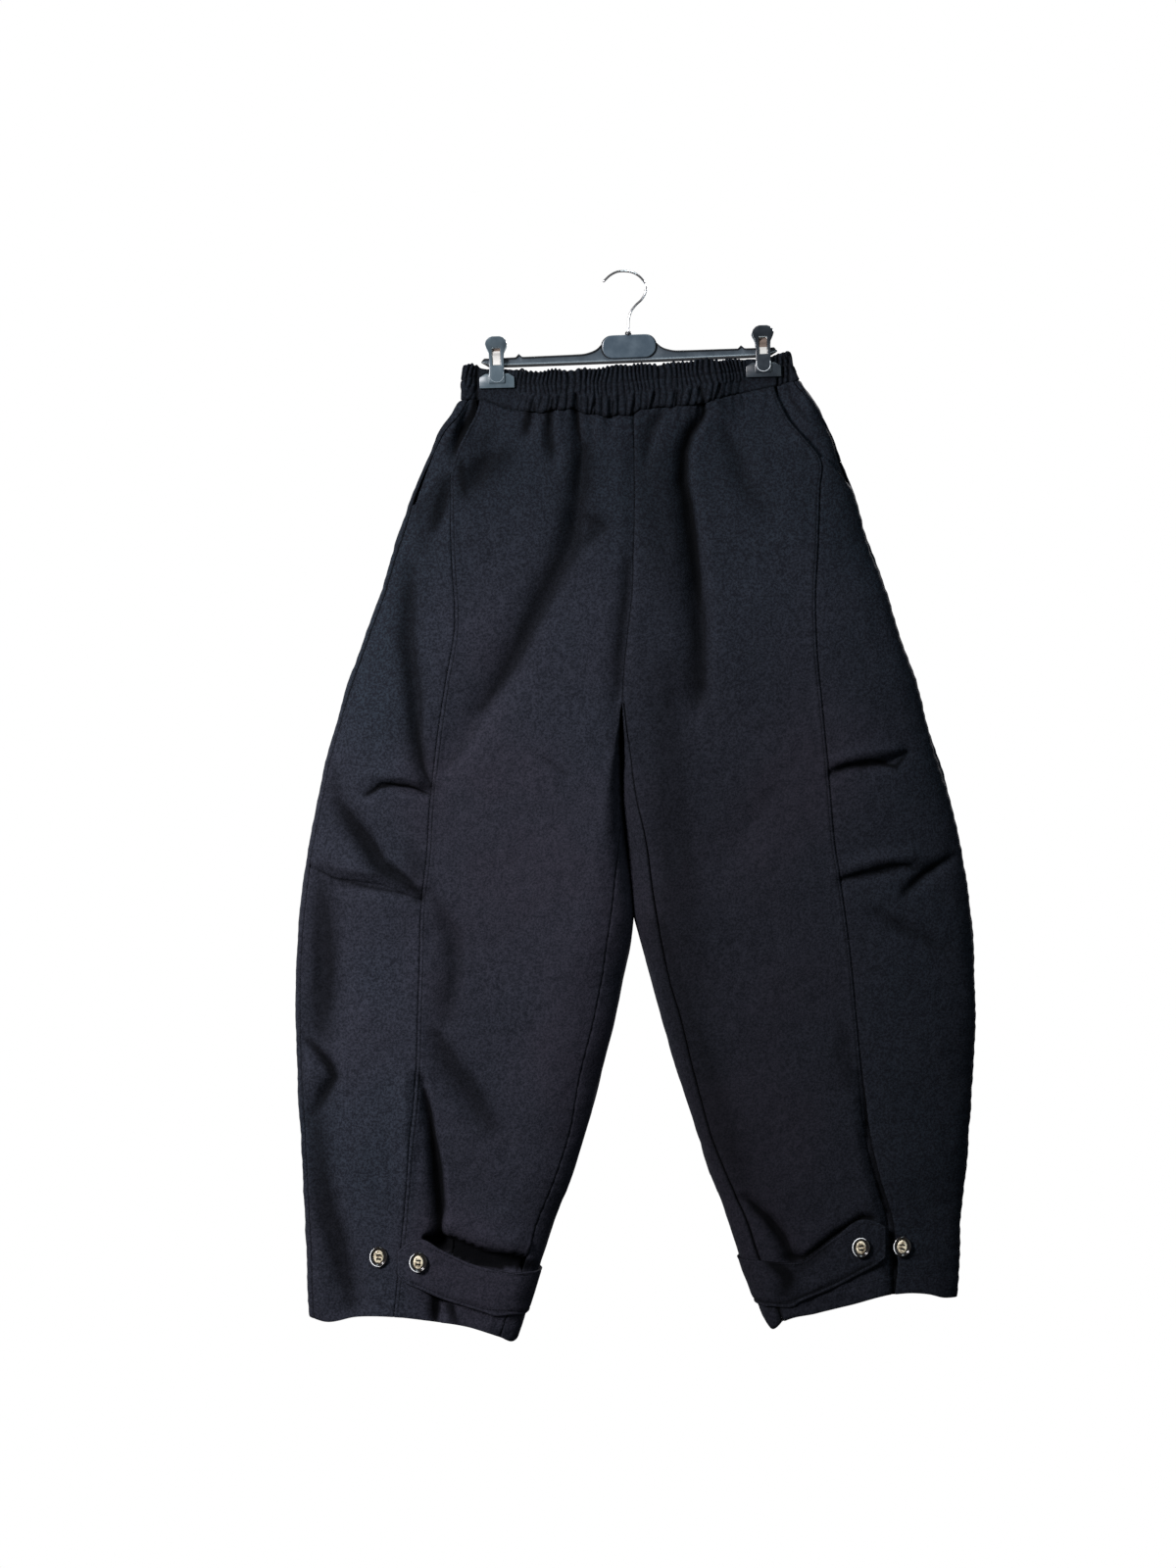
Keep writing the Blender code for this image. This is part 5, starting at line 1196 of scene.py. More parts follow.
def hem_tab(leg, look):
    """A doubled strip: it lies on the front, turns round the inner edge and is sewn down behind."""
    turn_top, turn_bottom = TAB_TURN[leg["name"]]
    turned = tuple((reach, turn_top - up, turn_bottom - up) for reach, up in TAB_BACK)
    rows = TABS[leg["name"]]
    shares = np.array((0.0, 0.34, 0.67, 1.0))
    spots = []
    for k, (where, top, bottom) in enumerate(rows + turned):
        key = "x" if k < len(rows) else "reach"
        spots.append([on_leg(leg, top + (bottom - top) * share, **{key: where}) for share in shares])
    base, outward = np.moveaxis(np.array(spots), 2, 0)
    walked = along(base.mean(axis=1))
    stations = np.unique(np.concatenate([np.linspace(0.0, walked[-1], 150), [0.8, 1.6]]))
    across = np.array([0.0, 0.02, 0.05, 0.085, 0.12, 0.2, 0.3, 0.4, 0.5, 0.6, 0.7, 0.8, 0.88, 0.915,
                       0.95, 0.98, 1.0])
    known = np.concatenate([base, outward], -1)
    lines = np.apply_along_axis(lambda column: curve(list(zip(walked, column)), stations), 0, known)
    full = np.apply_along_axis(lambda row: np.interp(across, shares, row), 1, lines)
    place, normal = full[..., :3], unit(full[..., 3:])
    wide = np.linalg.norm(place[:, -1] - place[:, 0], axis=1)[:, None]
    from_top = across[None, :] * wide
    from_bottom = (1.0 - across[None, :]) * wide
    end = stations[:, None]
    edge = np.minimum(np.minimum(from_top, from_bottom), end)
    thick = TAB * np.sqrt(np.clip(1.0 - (1.0 - np.clip(edge / 1.3, 0.0, 1.0)) ** 2, 0.0, 1.0))
    row = bell(edge - 3.6, 0.9)
    groove = bell(from_bottom - 4.6, 1.5) * smoothstep((end - 8.0) / 12.0)
    deeper = 1.2 if leg["side"] > 0 else 0.5
    swellings = 0.35 * swell(FINE, place[..., 0], -place[..., 2] + 33.0)
    top_height = TAB_LIFT + thick * 0.5 + TAB * 0.5 - 0.5 * row + swellings * smoothstep(edge / 6.0)
    top_height = top_height - deeper * groove
    # dark is painted shade along the groove by the lower row of stitches, at the tab's edges and in the
    # right tab's creases, scaled by the painted light
    dark = np.maximum((0.9 if leg["side"] > 0 else 0.35) * groove, 1.0 - smoothstep(edge / 0.9))
    if leg["side"] > 0:
        creased = darkness(TAB_CREASE_SHADES, place[..., 0], -place[..., 2]) * (place[..., 1] < 0.0)
        top_height = top_height - 1.5 * creased
        dark = np.maximum(dark, creased)
    dark = 1.0 - (1.0 - dark) * painted_light(leg, place[..., 0], -place[..., 2])
    low_height = TAB_LIFT + TAB * 0.5 - thick * 0.5
    outer = place + normal * top_height[..., None]
    inner = place + normal * low_height[..., None]
    if leg["side"] > 0:
        outer, inner, dark = outer[::-1], inner[::-1], dark[::-1]
    n, m = outer.shape[:2]
    outer, inner, dark = (grid.swapaxes(0, 1) for grid in (outer, inner, dark))
    points = np.concatenate([outer.reshape(-1, 3), inner.reshape(-1, 3)])
    quads = grid_faces(m, n)
    count = n * m
    faces = quads.tolist() + [[count + k for k in reversed(q)] for q in quads.tolist()]
    ring = [j for j in range(n)] + [i * n + n - 1 for i in range(1, m)]
    ring += [(m - 1) * n + j for j in range(n - 2, -1, -1)] + [i * n for i in range(m - 2, 0, -1)]
    faces += [[a, b, count + b, count + a] for a, b in zip(ring, ring[1:] + ring[:1])]
    return plain_mesh(f"hem_tab_{leg['name']}", points, faces, look,
                      shade=np.concatenate([dark.ravel(), dark.ravel()]))


# ---- shader maths


class Value:
    """A number socket in a node tree, which ordinary arithmetic extends by Math nodes."""

    def __init__(self, tree, socket):
        self.tree = tree
        self.socket = socket

    def math(self, operation, *others):
        made = self.tree.nodes.new("ShaderNodeMath")
        made.operation = operation
        for k, item in enumerate((self, *others)):
            if isinstance(item, Value):
                self.tree.links.new(item.socket, made.inputs[k])
            else:
                made.inputs[k].default_value = item
        return Value(self.tree, made.outputs[0])

    def __add__(self, other):
        return self.math("ADD", other)

    __radd__ = __add__

    def __mul__(self, other):
        return self.math("MULTIPLY", other)

    __rmul__ = __mul__

    def __rsub__(self, other):
        return (self * -1.0) + other

    def clamp(self):
        made = self.math("ADD", 0.0)
        made.socket.node.use_clamp = True
        return made


class Finish:
    """A material under construction."""

    def __init__(self, name):
        self.material = bpy.data.materials.new(name)
        self.material.use_nodes = True
        self.tree = self.material.node_tree
        self.shader = self.tree.nodes["Principled BSDF"]

    def node(self, kind, settings=None, out=0, **sockets):
        """Any node: its settings, and the values or links of its sockets."""
        made = self.tree.nodes.new(kind)
        for key, value in (settings or {}).items():
            setattr(made, key, value)
        for key, value in sockets.items():
            wanted = key.replace("_", " ").lower()
            socket = next(s for s in made.inputs if s.enabled and s.name.lower() == wanted)
            self.feed(socket, value)
        shown = [s for s in made.outputs if s.enabled]
        return Value(self.tree, shown[out])

    def feed(self, socket, value):
        if isinstance(value, Value):
            self.tree.links.new(value.socket, socket)
        elif hasattr(value, "__len__") and len(value) == 3 and socket.type == "RGBA":
            socket.default_value = (*value, 1.0)
        else:
            socket.default_value = value

    def place(self):
        return self.node("ShaderNodeTexCoord", out=3)

    def stretched(self, vector, scale):
        return self.node("ShaderNodeMapping", vector=vector, scale=scale)

    def noise(self, vector, scale, detail=2.0, roughness=0.5):
        return self.node("ShaderNodeTexNoise", vector=vector, scale=scale, detail=detail,
                         roughness=roughness)

    def steps(self, value, low, high):
        return self.node("ShaderNodeMapRange", {"interpolation_type": "SMOOTHSTEP"}, value=value,
                         from_min=low, from_max=high)

    def mix(self, factor, first, second):
        made = self.tree.nodes.new("ShaderNodeMix")
        made.data_type = "RGBA"
        self.feed(made.inputs[0], factor)
        self.feed(made.inputs[6], first)
        self.feed(made.inputs[7], second)
        return Value(self.tree, made.outputs[2])

    def bump(self, height, strength, distance):
        normal = self.node("ShaderNodeBump", height=height, strength=strength, distance=distance)
        self.tree.links.new(normal.socket, self.shader.inputs["Normal"])

    def set(self, **sockets):
        for key, value in sockets.items():
            self.feed(self.shader.inputs[key.replace("_", " ")], value)
        return self


def knit(name, shade):
    """Matt black jersey: a fine grain, soft nubs, specks of fluff and a faint painted light tint, colder
    towards the top and the sides and warmer lower down.
    """
    made = Finish(name)
    place = made.place()
    across = made.node("ShaderNodeSeparateXYZ", vector=place)
    height = made.node("ShaderNodeSeparateXYZ", out=2, vector=place)
    # Painted light tint: colder towards the top and the sides, warmer lower down
    down = made.steps(height, -0.14, -0.55)
    painted_tint = (made.steps(made.noise(place, 5.0, 3.0), 0.3, 0.7) * (0.15 + down * 0.4) + down * 0.6
            + made.steps(across, 0.18, 0.34) * -0.6 + made.steps(across, -0.19, -0.27) * -0.45).clamp()
    grain = made.noise(place, 1500.0, 2.0, 0.6)
    mottle = made.noise(place, 160.0, 4.0, 0.65)
    nubs = made.noise(place, 430.0, 3.0, 0.7)
    cold, warm, dark = (tuple(c * shade for c in colour) for colour in (
        (0.0118, 0.0170, 0.0240), (0.0182, 0.0172, 0.0246), (0.0052, 0.0058, 0.0085)))
    colour = made.mix(painted_tint, cold, warm)
    rough_side = 1.0 - painted_tint
    colour = made.mix((made.steps(mottle, 0.35, 0.7) * 0.25) + (made.steps(grain, 0.4, 0.7) * 0.3)
                      + (made.steps(nubs, 0.38, 0.62) * (0.55 + rough_side * 0.45)), colour, dark)
    speck = made.steps(made.node("ShaderNodeTexVoronoi", vector=place, scale=260.0), 0.10, 0.04)
    chosen = made.steps(made.noise(place, 97.0, 1.0), 0.66, 0.72)
    colour = made.mix(speck * chosen * 0.5, colour, (0.055, 0.058, 0.066))
    # Painted shade and light: the colour is mixed towards black by the painted_shading attribute
    painted_shading = made.node("ShaderNodeAttribute", {"attribute_name": "painted_shading"}, out=2)
    colour = made.mix(painted_shading * 0.97, colour, (0.0005, 0.0006, 0.0009))
    rough = 0.86 + mottle * 0.12
    made.set(Base_Color=colour, Roughness=rough, Specular_IOR_Level=0.04)
    made.bump((grain * 0.5) + (mottle * 0.9) + (nubs * 1.1), 0.5, 0.0009)
    return made.material


def moulded(name, colour, light):
    """Hard plastic with a satin gloss, faintly mottled and paler where it was handled."""
    made = Finish(name)
    place = made.place()
    cloud = made.noise(place, 60.0, 4.0, 0.6)
    grain = made.noise(place, 900.0, 2.0)
    shade = made.mix(made.steps(cloud, 0.35, 0.75) * 0.5, colour, light)
    made.set(Base_Color=shade, Roughness=0.26 + cloud * 0.14)
    made.set(Coat_Weight=0.25, Coat_Roughness=0.2)
    made.bump(grain + cloud, 0.12, 0.0002)
    return made.material


def metal(name, colour, roughness, scratch, metallic=1.0):
    made = Finish(name)
    place = made.place()
    lines = made.noise(made.stretched(place, scratch), 400.0, 3.0)
    made.set(Base_Color=made.mix(made.steps(lines, 0.3, 0.8) * 0.4, colour, tuple(c * 0.7 for c in colour)),
             Roughness=roughness + lines * 0.1)
    made.set(Metallic=metallic)
    made.bump(lines, 0.08, 0.0001)
    return made.material


def plain(name, colour, roughness, specular=0.5):
    made = Finish(name)
    grain = made.noise(made.place(), 700.0, 3.0)
    made.set(Base_Color=made.mix(made.steps(grain, 0.3, 0.7), colour, tuple(c * 0.8 for c in colour)),
             Roughness=roughness)
    made.set(Specular_IOR_Level=specular)
    return made.material


def horn(name):
    """Cream horn, clouded brown."""
    made = Finish(name)
    place = made.place()
    cloud = made.noise(place, 420.0, 4.0, 0.6)
    fine = made.noise(place, 1400.0, 3.0)
    colour = made.mix(made.steps(cloud, 0.42, 0.60), (0.52, 0.47, 0.35), (0.10, 0.075, 0.045))
    colour = made.mix(made.steps(fine, 0.55, 0.75) * 0.5, colour, (0.72, 0.66, 0.52))
    made.set(Base_Color=colour, Roughness=0.25 + cloud * 0.15)
    made.set(Coat_Weight=0.4)
    made.bump(cloud, 0.1, 0.0002)
    return made.material


# ---- hanger, clips, buttons


def along_axis(points, origin, turn):
    """Points in a tilted piece's own frame, set in their place."""
    c, s = math.cos(turn), math.sin(turn)
    x = points[..., 0] * c - points[..., 2] * s
    z = points[..., 0] * s + points[..., 2] * c
    return np.stack([x + origin[0], points[..., 1], z - origin[1]], -1)


def closed_loft(name, loops, look, smooth=True):
    """A body through closed loops of equal count, capped at both ends."""
    n, m = loops.shape[:2]
    faces = []
    for i in range(n - 1):
        for j in range(m):
            k = (j + 1) % m
            faces.append((i * m + j, (i + 1) * m + j, (i + 1) * m + k, i * m + k))
    faces.append(tuple(range(m)))
    faces.append(tuple(reversed(range((n - 1) * m, n * m))))
    made = plain_mesh(name, loops.reshape(-1, 3), faces, look, smooth=smooth)
    fix_normals(made)
    return made


def fix_normals(made):
    work = bmesh.new()
    work.from_mesh(made.data)
    bmesh.ops.recalc_face_normals(work, faces=work.faces[:])
    work.to_mesh(made.data)
    work.free()


def turned_loops(profile, sides):
    angle = turns(sides)
    return np.array([np.stack([radius * np.cos(angle), radius * np.sin(angle), np.full(sides, up)], 1)
                     for radius, up in profile])


def bar(look, web_look, ledge_look):
    """The moulded bar: rounded flanges and a sunk web, sweeping up to the plaque."""
    places, top_rows, low_rows = zip(*BAR_ROWS)
    end = places[-1]
    stations = np.unique(np.concatenate([np.linspace(-end, end, 190),
                                         [-end, -156.6, -155.8, 155.8, 156.6, end]]))
    tops = np.where(np.abs(stations) < BAR_SWEEP, curve(BAR_ROWS, stations, 1),
                    np.interp(stations, places, top_rows))
    lows = np.interp(stations, places, low_rows)
    loops = []
    for x, top, low in zip(stations, tops, lows):
        fade = min(1.0, math.sqrt(max(0.02, (end + 0.6 - abs(x)) / 3.0)))
        deep = BAR_HALF_DEPTH * fade
        web = BAR_WEB_HALF * fade
        rim = min(1.7, (top - low) * 0.25)
        foot = min(3.0, (top - low) * 0.34)
        half = [(0.0, top), (deep * 0.6, top - 0.05), (deep * 0.92, top - 0.35), (deep, top - 0.8),
                (deep, top - rim + 0.35), (deep * 0.9, top - rim), (web + 0.2, top - rim - 0.25),
                (web, top - rim - 0.7), (web, low + foot + 1.0), (web + 0.2, low + foot + 0.7),
                (deep * 0.9, low + foot), (deep, low + foot - 0.35), (deep, low + 0.8),
                (deep * 0.92, low + 0.35), (deep * 0.6, low + 0.05), (0.0, low)]
        loop = [(x, -y, z) for y, z in half] + [(x, y, z) for y, z in half[-2:0:-1]]
        loops.append(loop)
    loops = along_axis(np.array(loops), BAR_MIDDLE, TILT)
    made = closed_loft("bar", loops, look)
    made.data.materials.append(web_look)
    made.data.materials.append(ledge_look)
    count = loops.shape[1]
    # The ledge strips take a pale finish as a painted highlight
    for k, face in enumerate(made.data.polygons[:(len(loops) - 1) * count]):
        face.material_index = 1 if k % count in BAR_WEB else 2 if k % count in BAR_LEDGE else 0
    return made


def rounded_outline(half_width, low, high, corner, steps):
    """An oval with flat top and bottom, counter-clockwise seen from the front."""
    points = []
    for centre_x, centre_z, start in (
        (half_width - corner, low + corner, -90),
        (half_width - corner, high - corner, 0),
        (corner - half_width, high - corner, 90),
        (corner - half_width, low + corner, 180),
    ):
        for k in range(steps + 1):
            angle = math.radians(start + 90.0 * k / steps)
            points.append((centre_x + corner * math.cos(angle), centre_z + corner * math.sin(angle)))
    return points


def plaque(look, name="plaque", grown=0.0, sunk=0.0):
    """The flat oval in the middle of the bar, with a soft rim, or, grown and sunk behind it in a near-black
    finish, the painted shade of the groove round it.
    """
    outline = np.array(rounded_outline(PLAQUE["half_width"] + grown, PLAQUE["low"] - grown * 0.2,
                                       PLAQUE["high"], PLAQUE["corner"], 8))
    middle = np.array([0.0, (PLAQUE["low"] + PLAQUE["high"]) / 2])
    deep = PLAQUE["half_depth"] - sunk
    loops = []
    for share, y in ((0.02, -deep), (0.8, -deep), (0.9, -deep), (0.955, -deep + 0.12),
                     (0.985, -deep + 0.45), (1.0, -deep + 1.0), (1.0, deep - 1.0),
                     (0.985, deep - 0.45), (0.955, deep - 0.12), (0.9, deep), (0.8, deep), (0.02, deep)):
        inset = (1.0 - share) * PLAQUE["half_depth"] * 3.2
        reach = outline - middle
        length = np.linalg.norm(reach, axis=1, keepdims=True)
        flat = middle + reach * (np.maximum(length - inset, 0.0) / length if share > 0.5 else share)
        loops.append(np.stack([flat[:, 0], np.full(len(flat), y), flat[:, 1]], 1))
    loops = along_axis(np.array(loops), BAR_MIDDLE, TILT)
    return closed_loft(name, loops, look)


def collar(look):
    """The small dome that the wire comes out of."""
    base = PLAQUE["high"]
    x = BAR_MIDDLE[0] - base * math.sin(TILT)
    drop = BAR_MIDDLE[1] - base * math.cos(TILT)
    return closed_loft("collar", turned_loops(COLLAR_TURN, 28) + np.array([x, 0.0, -drop]), look)


def hook(look):
    """The wire hook, a round wire whose foot stands in the collar."""
    stem = BAR_MIDDLE[0] - PLAQUE["high"] * math.sin(TILT)
    route = np.array(HOOK_ROUTE + ((stem, 58.0), (stem, 66.0), (stem, HOOK_FOOT - 4.0)), float)
    line = smoothed(route, 110) * (1.0, -1.0)
    way = np.gradient(line, axis=0)
    way = way / np.linalg.norm(way, axis=1, keepdims=True)
    loops = []
    for k, ((x, z), (wx, wz)) in enumerate(zip(line, way)):
        radius = WIRE_RADIUS * (0.75 if k == 0 else 1.0)
        loops.append([(x - wz * radius * math.cos(a), radius * math.sin(a), z + wx * radius * math.cos(a))
                      for a in turns(16)])
    return closed_loft("hook", np.array(loops), look)


def grid_body(name, outer, inner, keep, look, bevel=0.5, smooth=True):
    """A closed body between two grids, its edges softened."""
    rows, columns = outer.shape[:2]
    count = rows * columns
    points = np.concatenate([outer.reshape(-1, 3), inner.reshape(-1, 3)])
    faces = []
    borders = {}
    for i in range(rows - 1):
        for j in range(columns - 1):
            if keep[i, j]:
                quad = (i * columns + j, (i + 1) * columns + j,
                        (i + 1) * columns + j + 1, i * columns + j + 1)
                faces.append(quad)
                faces.append(tuple(count + k for k in reversed(quad)))
                for a, b in zip(quad, quad[1:] + quad[:1]):
                    if (b, a) in borders:
                        del borders[(b, a)]
                    else:
                        borders[(a, b)] = True
    faces += [(b, a, count + a, count + b) for a, b in borders]
    made = plain_mesh(name, points, faces, look, smooth=smooth)
    fix_normals(made)
    if bevel:
        soft = made.modifiers.new("soft edges", "BEVEL")
        soft.width = bevel * MM
        soft.segments = 2
        soft.limit_method = "ANGLE"
        soft.angle_limit = math.radians(32)
        soft.harden_normals = False
    return made


def lever(clip, face, look):
    """One lever of a clip with its jaw plate. face is -1 at the front and 1 at the back."""
    head_x, head_drop, _ = CLIPS[clip]
    rows = []
    for before, after in zip(LEVER_ROWS[:-1], LEVER_ROWS[1:]):
        rows.append(before)
        if after[0] - before[0] > 3.0 and after[0] < WINDOW[0]:
            rows.append(tuple((a + b) / 2 for a, b in zip(before, after)))
    rows.append(LEVER_ROWS[-1])
    outer = []
    for down, half, inner_face in rows:
        wide = JAW_HALF_WIDTH if down > JAW_FROM else JAW_HALF_WIDTH - 6.5
        tongue = LEVER_THICK + (TONGUE_PROUD if down < TONGUE_END else 0.0)
        step = half + 0.7
        xs = (-wide, -step, -half, -WINDOW_HALF, WINDOW_HALF, half, step, wide)
        if down < JAW_FROM:
            window = min(WINDOW_HALF, half * 0.6)
            xs = (-half - 2, -half - 1, -half, -window, window, half, half + 1, half + 2)
        depths = (LEVER_THICK, LEVER_THICK, tongue, tongue, tongue, tongue, LEVER_THICK, LEVER_THICK)
        outer.append([(x, face * (inner_face + depth), -down) for x, depth in zip(xs, depths)])
    outer = np.array(outer, float)
    inner = outer.copy()
    inner[..., 1] = face * np.array([row[2] for row in rows])[:, None]
    keep = np.ones((len(rows) - 1, 7), bool)
    for k in range(len(rows) - 1):
        top, bottom = rows[k][0], rows[k + 1][0]
        if top < JAW_FROM:
            keep[k, (0, 1, 5, 6)] = False
        if top >= WINDOW[0] and bottom <= WINDOW[1]:
            keep[k, 3] = False
    if face > 0:
        outer, inner, keep = outer[:, ::-1], inner[:, ::-1], keep[:, ::-1]
    where = (head_x, head_drop)
    outer = along_axis(outer, where, CLIP_TILT)
    inner = along_axis(inner, where, CLIP_TILT)
    name = f"lever_{clip}_{'front' if face < 0 else 'back'}"
    return grid_body(name, outer, inner, keep, look, 0.55)


def tongue_edge(clip, face, look):
    """A painted highlight: a pale thread round the foot of a lever's raised tongue, where the light
    catches.
    """
    head_x, head_drop, _ = CLIPS[clip]
    half, high, turn, reach = TONGUE_GLINT["half"], TONGUE_GLINT["from"], TONGUE_GLINT["turn"], TONGUE_GLINT["reach"]
    route = [(-half, high)] + [(half * math.sin(t), turn + reach * math.cos(t))
                               for t in np.linspace(-math.pi / 2, math.pi / 2, 19)] + [(half, high)]
    deep = face * (JAW_INNER + LEVER_THICK + TONGUE_PROUD + 0.05)
    points = along_axis(np.array([(x, deep, -down) for x, down in route]), (head_x, head_drop), CLIP_TILT)
    name = f"tongue_edge_{clip}_{'front' if face < 0 else 'back'}"
    return closed_loft(name, tube(points, TONGUE_GLINT["radius"], 8), look)


def spring(clip, look, tarnished):
    """The steel strip that bends over from one lever's window to the other's, darker on its upper part."""
    head_x, head_drop, _ = CLIPS[clip]
    half = [(-y, -down) for y, down in SPRING_ROUTE]
    route = np.array(half + [(-y, z) for y, z in reversed(half[:-1])])
    fine = smoothed(route, 70)
    way = np.gradient(fine, axis=0)
    normal = np.stack([-way[:, 1], way[:, 0]], 1) / np.linalg.norm(way, axis=1)[:, None]
    loops = []
    for (y, z), (ny, nz) in zip(fine, normal):
        loop = []
        for x, out in ((-SPRING_HALF, -0.3), (-SPRING_HALF + 0.15, -0.45), (SPRING_HALF - 0.15, -0.45),
                       (SPRING_HALF, -0.3), (SPRING_HALF, 0.3), (SPRING_HALF - 0.15, 0.45),
                       (-SPRING_HALF + 0.15, 0.45), (-SPRING_HALF, 0.3)):
            loop.append((x, y + ny * out, z + nz * out))
        loops.append(loop)
    loops = along_axis(np.array(loops), (head_x, head_drop), CLIP_TILT)
    made = closed_loft(f"spring_{clip}", loops, look, smooth=False)
    made.data.materials.append(tarnished)
    for face in made.data.polygons:
        down = -face.center[2] / MM - head_drop
        if down < TARNISHED[clip]:
            face.material_index = 1
    return made


def turned(name, profile, sides, look):
    """A turned body on the local Z axis, its profile from the top middle round to the bottom middle."""
    return closed_loft(name, turned_loops(profile, sides), look)


def move_points(made, moved):
    flat = np.empty(len(made.data.vertices) * 3)
    made.data.vertices.foreach_get("co", flat)
    made.data.vertices.foreach_set("co", moved(flat.reshape(-1, 3)).ravel())
    made.data.update()


def place_on(made, leg, x, drop, rise):
    """Bakes a piece made round the local Z axis into its place on a leg's front."""
    on, normal = on_leg(leg, drop, x=x)
    seat = on + normal * rise
    right = np.array([-normal[1], normal[0], 0.0])
    up = np.array([0.0, 0.0, 1.0])
    move_points(made, lambda at: at[:, :1] * right + at[:, 1:2] * up + at[:, 2:] * normal + seat * MM)


def tube(route, radius, sides):
    """Loops of a round thread along a route of points."""
    route = np.asarray(route, float)
    way = unit(np.gradient(route, axis=0))
    side = unit(np.cross(way, np.array([0.0, 0.0, 1.0]) + 1e-3))
    over = np.cross(side, way)
    angle = turns(sides)
    return np.array([[p + radius * (math.cos(a) * s + math.sin(a) * o) for a in angle]
                     for p, s, o in zip(route, side, over)])


def button(name, leg, x, drop, rise, looks, turn):
    """A dished horn button: a dark rim with a painted highlight, a pale crescent for the light it reflects,
    a cream middle and two bars of thread.
    """
    body = turned(name, BUTTON_TURN, 48, looks["rim"])
    heart = turned(f"{name}_heart", HEART_TURN, 40, looks["horn"])
    start, end = (math.radians(a) for a in RIM_GLINTS[name.replace("horn_", "")])
    around = np.linspace(start, end, 30)
    loops = []
    for k, a in enumerate(around):
        thick = 0.5 * math.sin(math.pi * (k + 0.6) / 30.2) ** 0.6
        out = np.array([math.cos(a), math.sin(a), 0.0])
        centre = out * 9.5 + np.array([0.0, 0.0, 2.95])
        loops.append([centre + thick * (math.cos(b) * out + math.sin(b) * np.array([0.0, 0.0, 1.0]))
                      for b in turns(10)])
    heart.data.transform(Matrix.Diagonal((0.88, 1.04, 1.0, 1.0)))
    made = [body, heart, closed_loft(f"{name}_streak", np.array(loops), looks["rim_glint"])]
    for hy in (-2.0, 2.0):
        for hx in (-1.9, 1.9):
            hole = turned(f"{name}_hole", ((0.05, 2.2), (0.62, 2.2), (0.7, 2.1), (0.05, 1.9)), 14,
                          looks["hole"])
            hole.data.transform(Matrix.Translation((hx * MM, hy * MM, 0.0)))
            made.append(hole)
        route = [(-2.5, hy - 0.2, 1.95), (-1.9, hy, 2.45), (-0.9, hy + 0.25, 2.7), (0.0, hy + 0.1, 2.75),
                 (0.9, hy + 0.25, 2.7), (1.9, hy, 2.45), (2.5, hy - 0.2, 1.95)]
        made.append(closed_loft(f"{name}_thread", tube(route, 0.66, 8), looks["hole"]))
    c, s = math.cos(turn), math.sin(turn)

    def spun(at):
        x, y, z = at.T
        return np.stack([(x * c - y * s) * BUTTON_OVAL[0], (x * s + y * c) * BUTTON_OVAL[1], z], 1)

    for piece in made:
        move_points(piece, spun)
        place_on(piece, leg, x, drop, rise)
    return made


def join(name, pieces):
    """One object from several, each keeping its own finish."""
    with bpy.context.temp_override(active_object=pieces[0], selected_objects=pieces,
                                   selected_editable_objects=pieces, object=pieces[0]):
        bpy.ops.object.join()
    pieces[0].name = name
    return pieces[0]


# ---- stitches


def stitch_tree():
    """Lays a thread's stitch at every pitch along each path of a mesh of edges."""
    tree = bpy.data.node_groups.new("stitch run", "GeometryNodeTree")
    face = tree.interface
    face.new_socket("Paths", in_out="INPUT", socket_type="NodeSocketGeometry")
    for name in ("Pitch", "Stitch length", "Thread radius"):
        face.new_socket(name, in_out="INPUT", socket_type="NodeSocketFloat")
    face.new_socket("Look", in_out="INPUT", socket_type="NodeSocketMaterial")
    face.new_socket("Stitches", in_out="OUTPUT", socket_type="NodeSocketGeometry")
    kinds = {
        "entry": "NodeGroupInput", "leave": "NodeGroupOutput", "curve": "GeometryNodeMeshToCurve",
        "resample": "GeometryNodeResampleCurve", "tangent": "GeometryNodeInputTangent",
        "align": "FunctionNodeAlignRotationToVector", "ball": "GeometryNodeMeshUVSphere",
        "size": "ShaderNodeCombineXYZ", "half": "ShaderNodeMath", "place": "GeometryNodeInstanceOnPoints",
        "solid": "GeometryNodeRealizeInstances", "smooth": "GeometryNodeSetShadeSmooth",
        "paint": "GeometryNodeSetMaterial",
    }
    nodes = {name: tree.nodes.new(kind) for name, kind in kinds.items()}
    nodes["resample"].mode = "LENGTH"
    nodes["align"].axis = "Z"
    nodes["half"].operation = "MULTIPLY"
    for name, socket, value in (("ball", "Segments", 6), ("ball", "Rings", 4), ("ball", "Radius", 1.0),
                                ("half", 1, 0.5)):
        nodes[name].inputs[socket].default_value = value
    for giver, outlet, taker, inlet in (
        ("entry", "Paths", "curve", 0), ("curve", 0, "resample", "Curve"),
        ("entry", "Pitch", "resample", "Length"), ("tangent", 0, "align", "Vector"),
        ("entry", "Stitch length", "half", 0), ("entry", "Thread radius", "size", 0),
        ("entry", "Thread radius", "size", 1), ("half", 0, "size", 2),
        ("resample", 0, "place", "Points"), ("ball", "Mesh", "place", "Instance"),
        ("align", 0, "place", "Rotation"), ("size", 0, "place", "Scale"), ("place", 0, "solid", 0),
        ("solid", 0, "smooth", 0), ("smooth", 0, "paint", "Geometry"),
        ("entry", "Look", "paint", "Material"), ("paint", 0, "leave", 0),
    ):
        tree.links.new(nodes[giver].outputs[outlet], nodes[taker].inputs[inlet])
    return tree


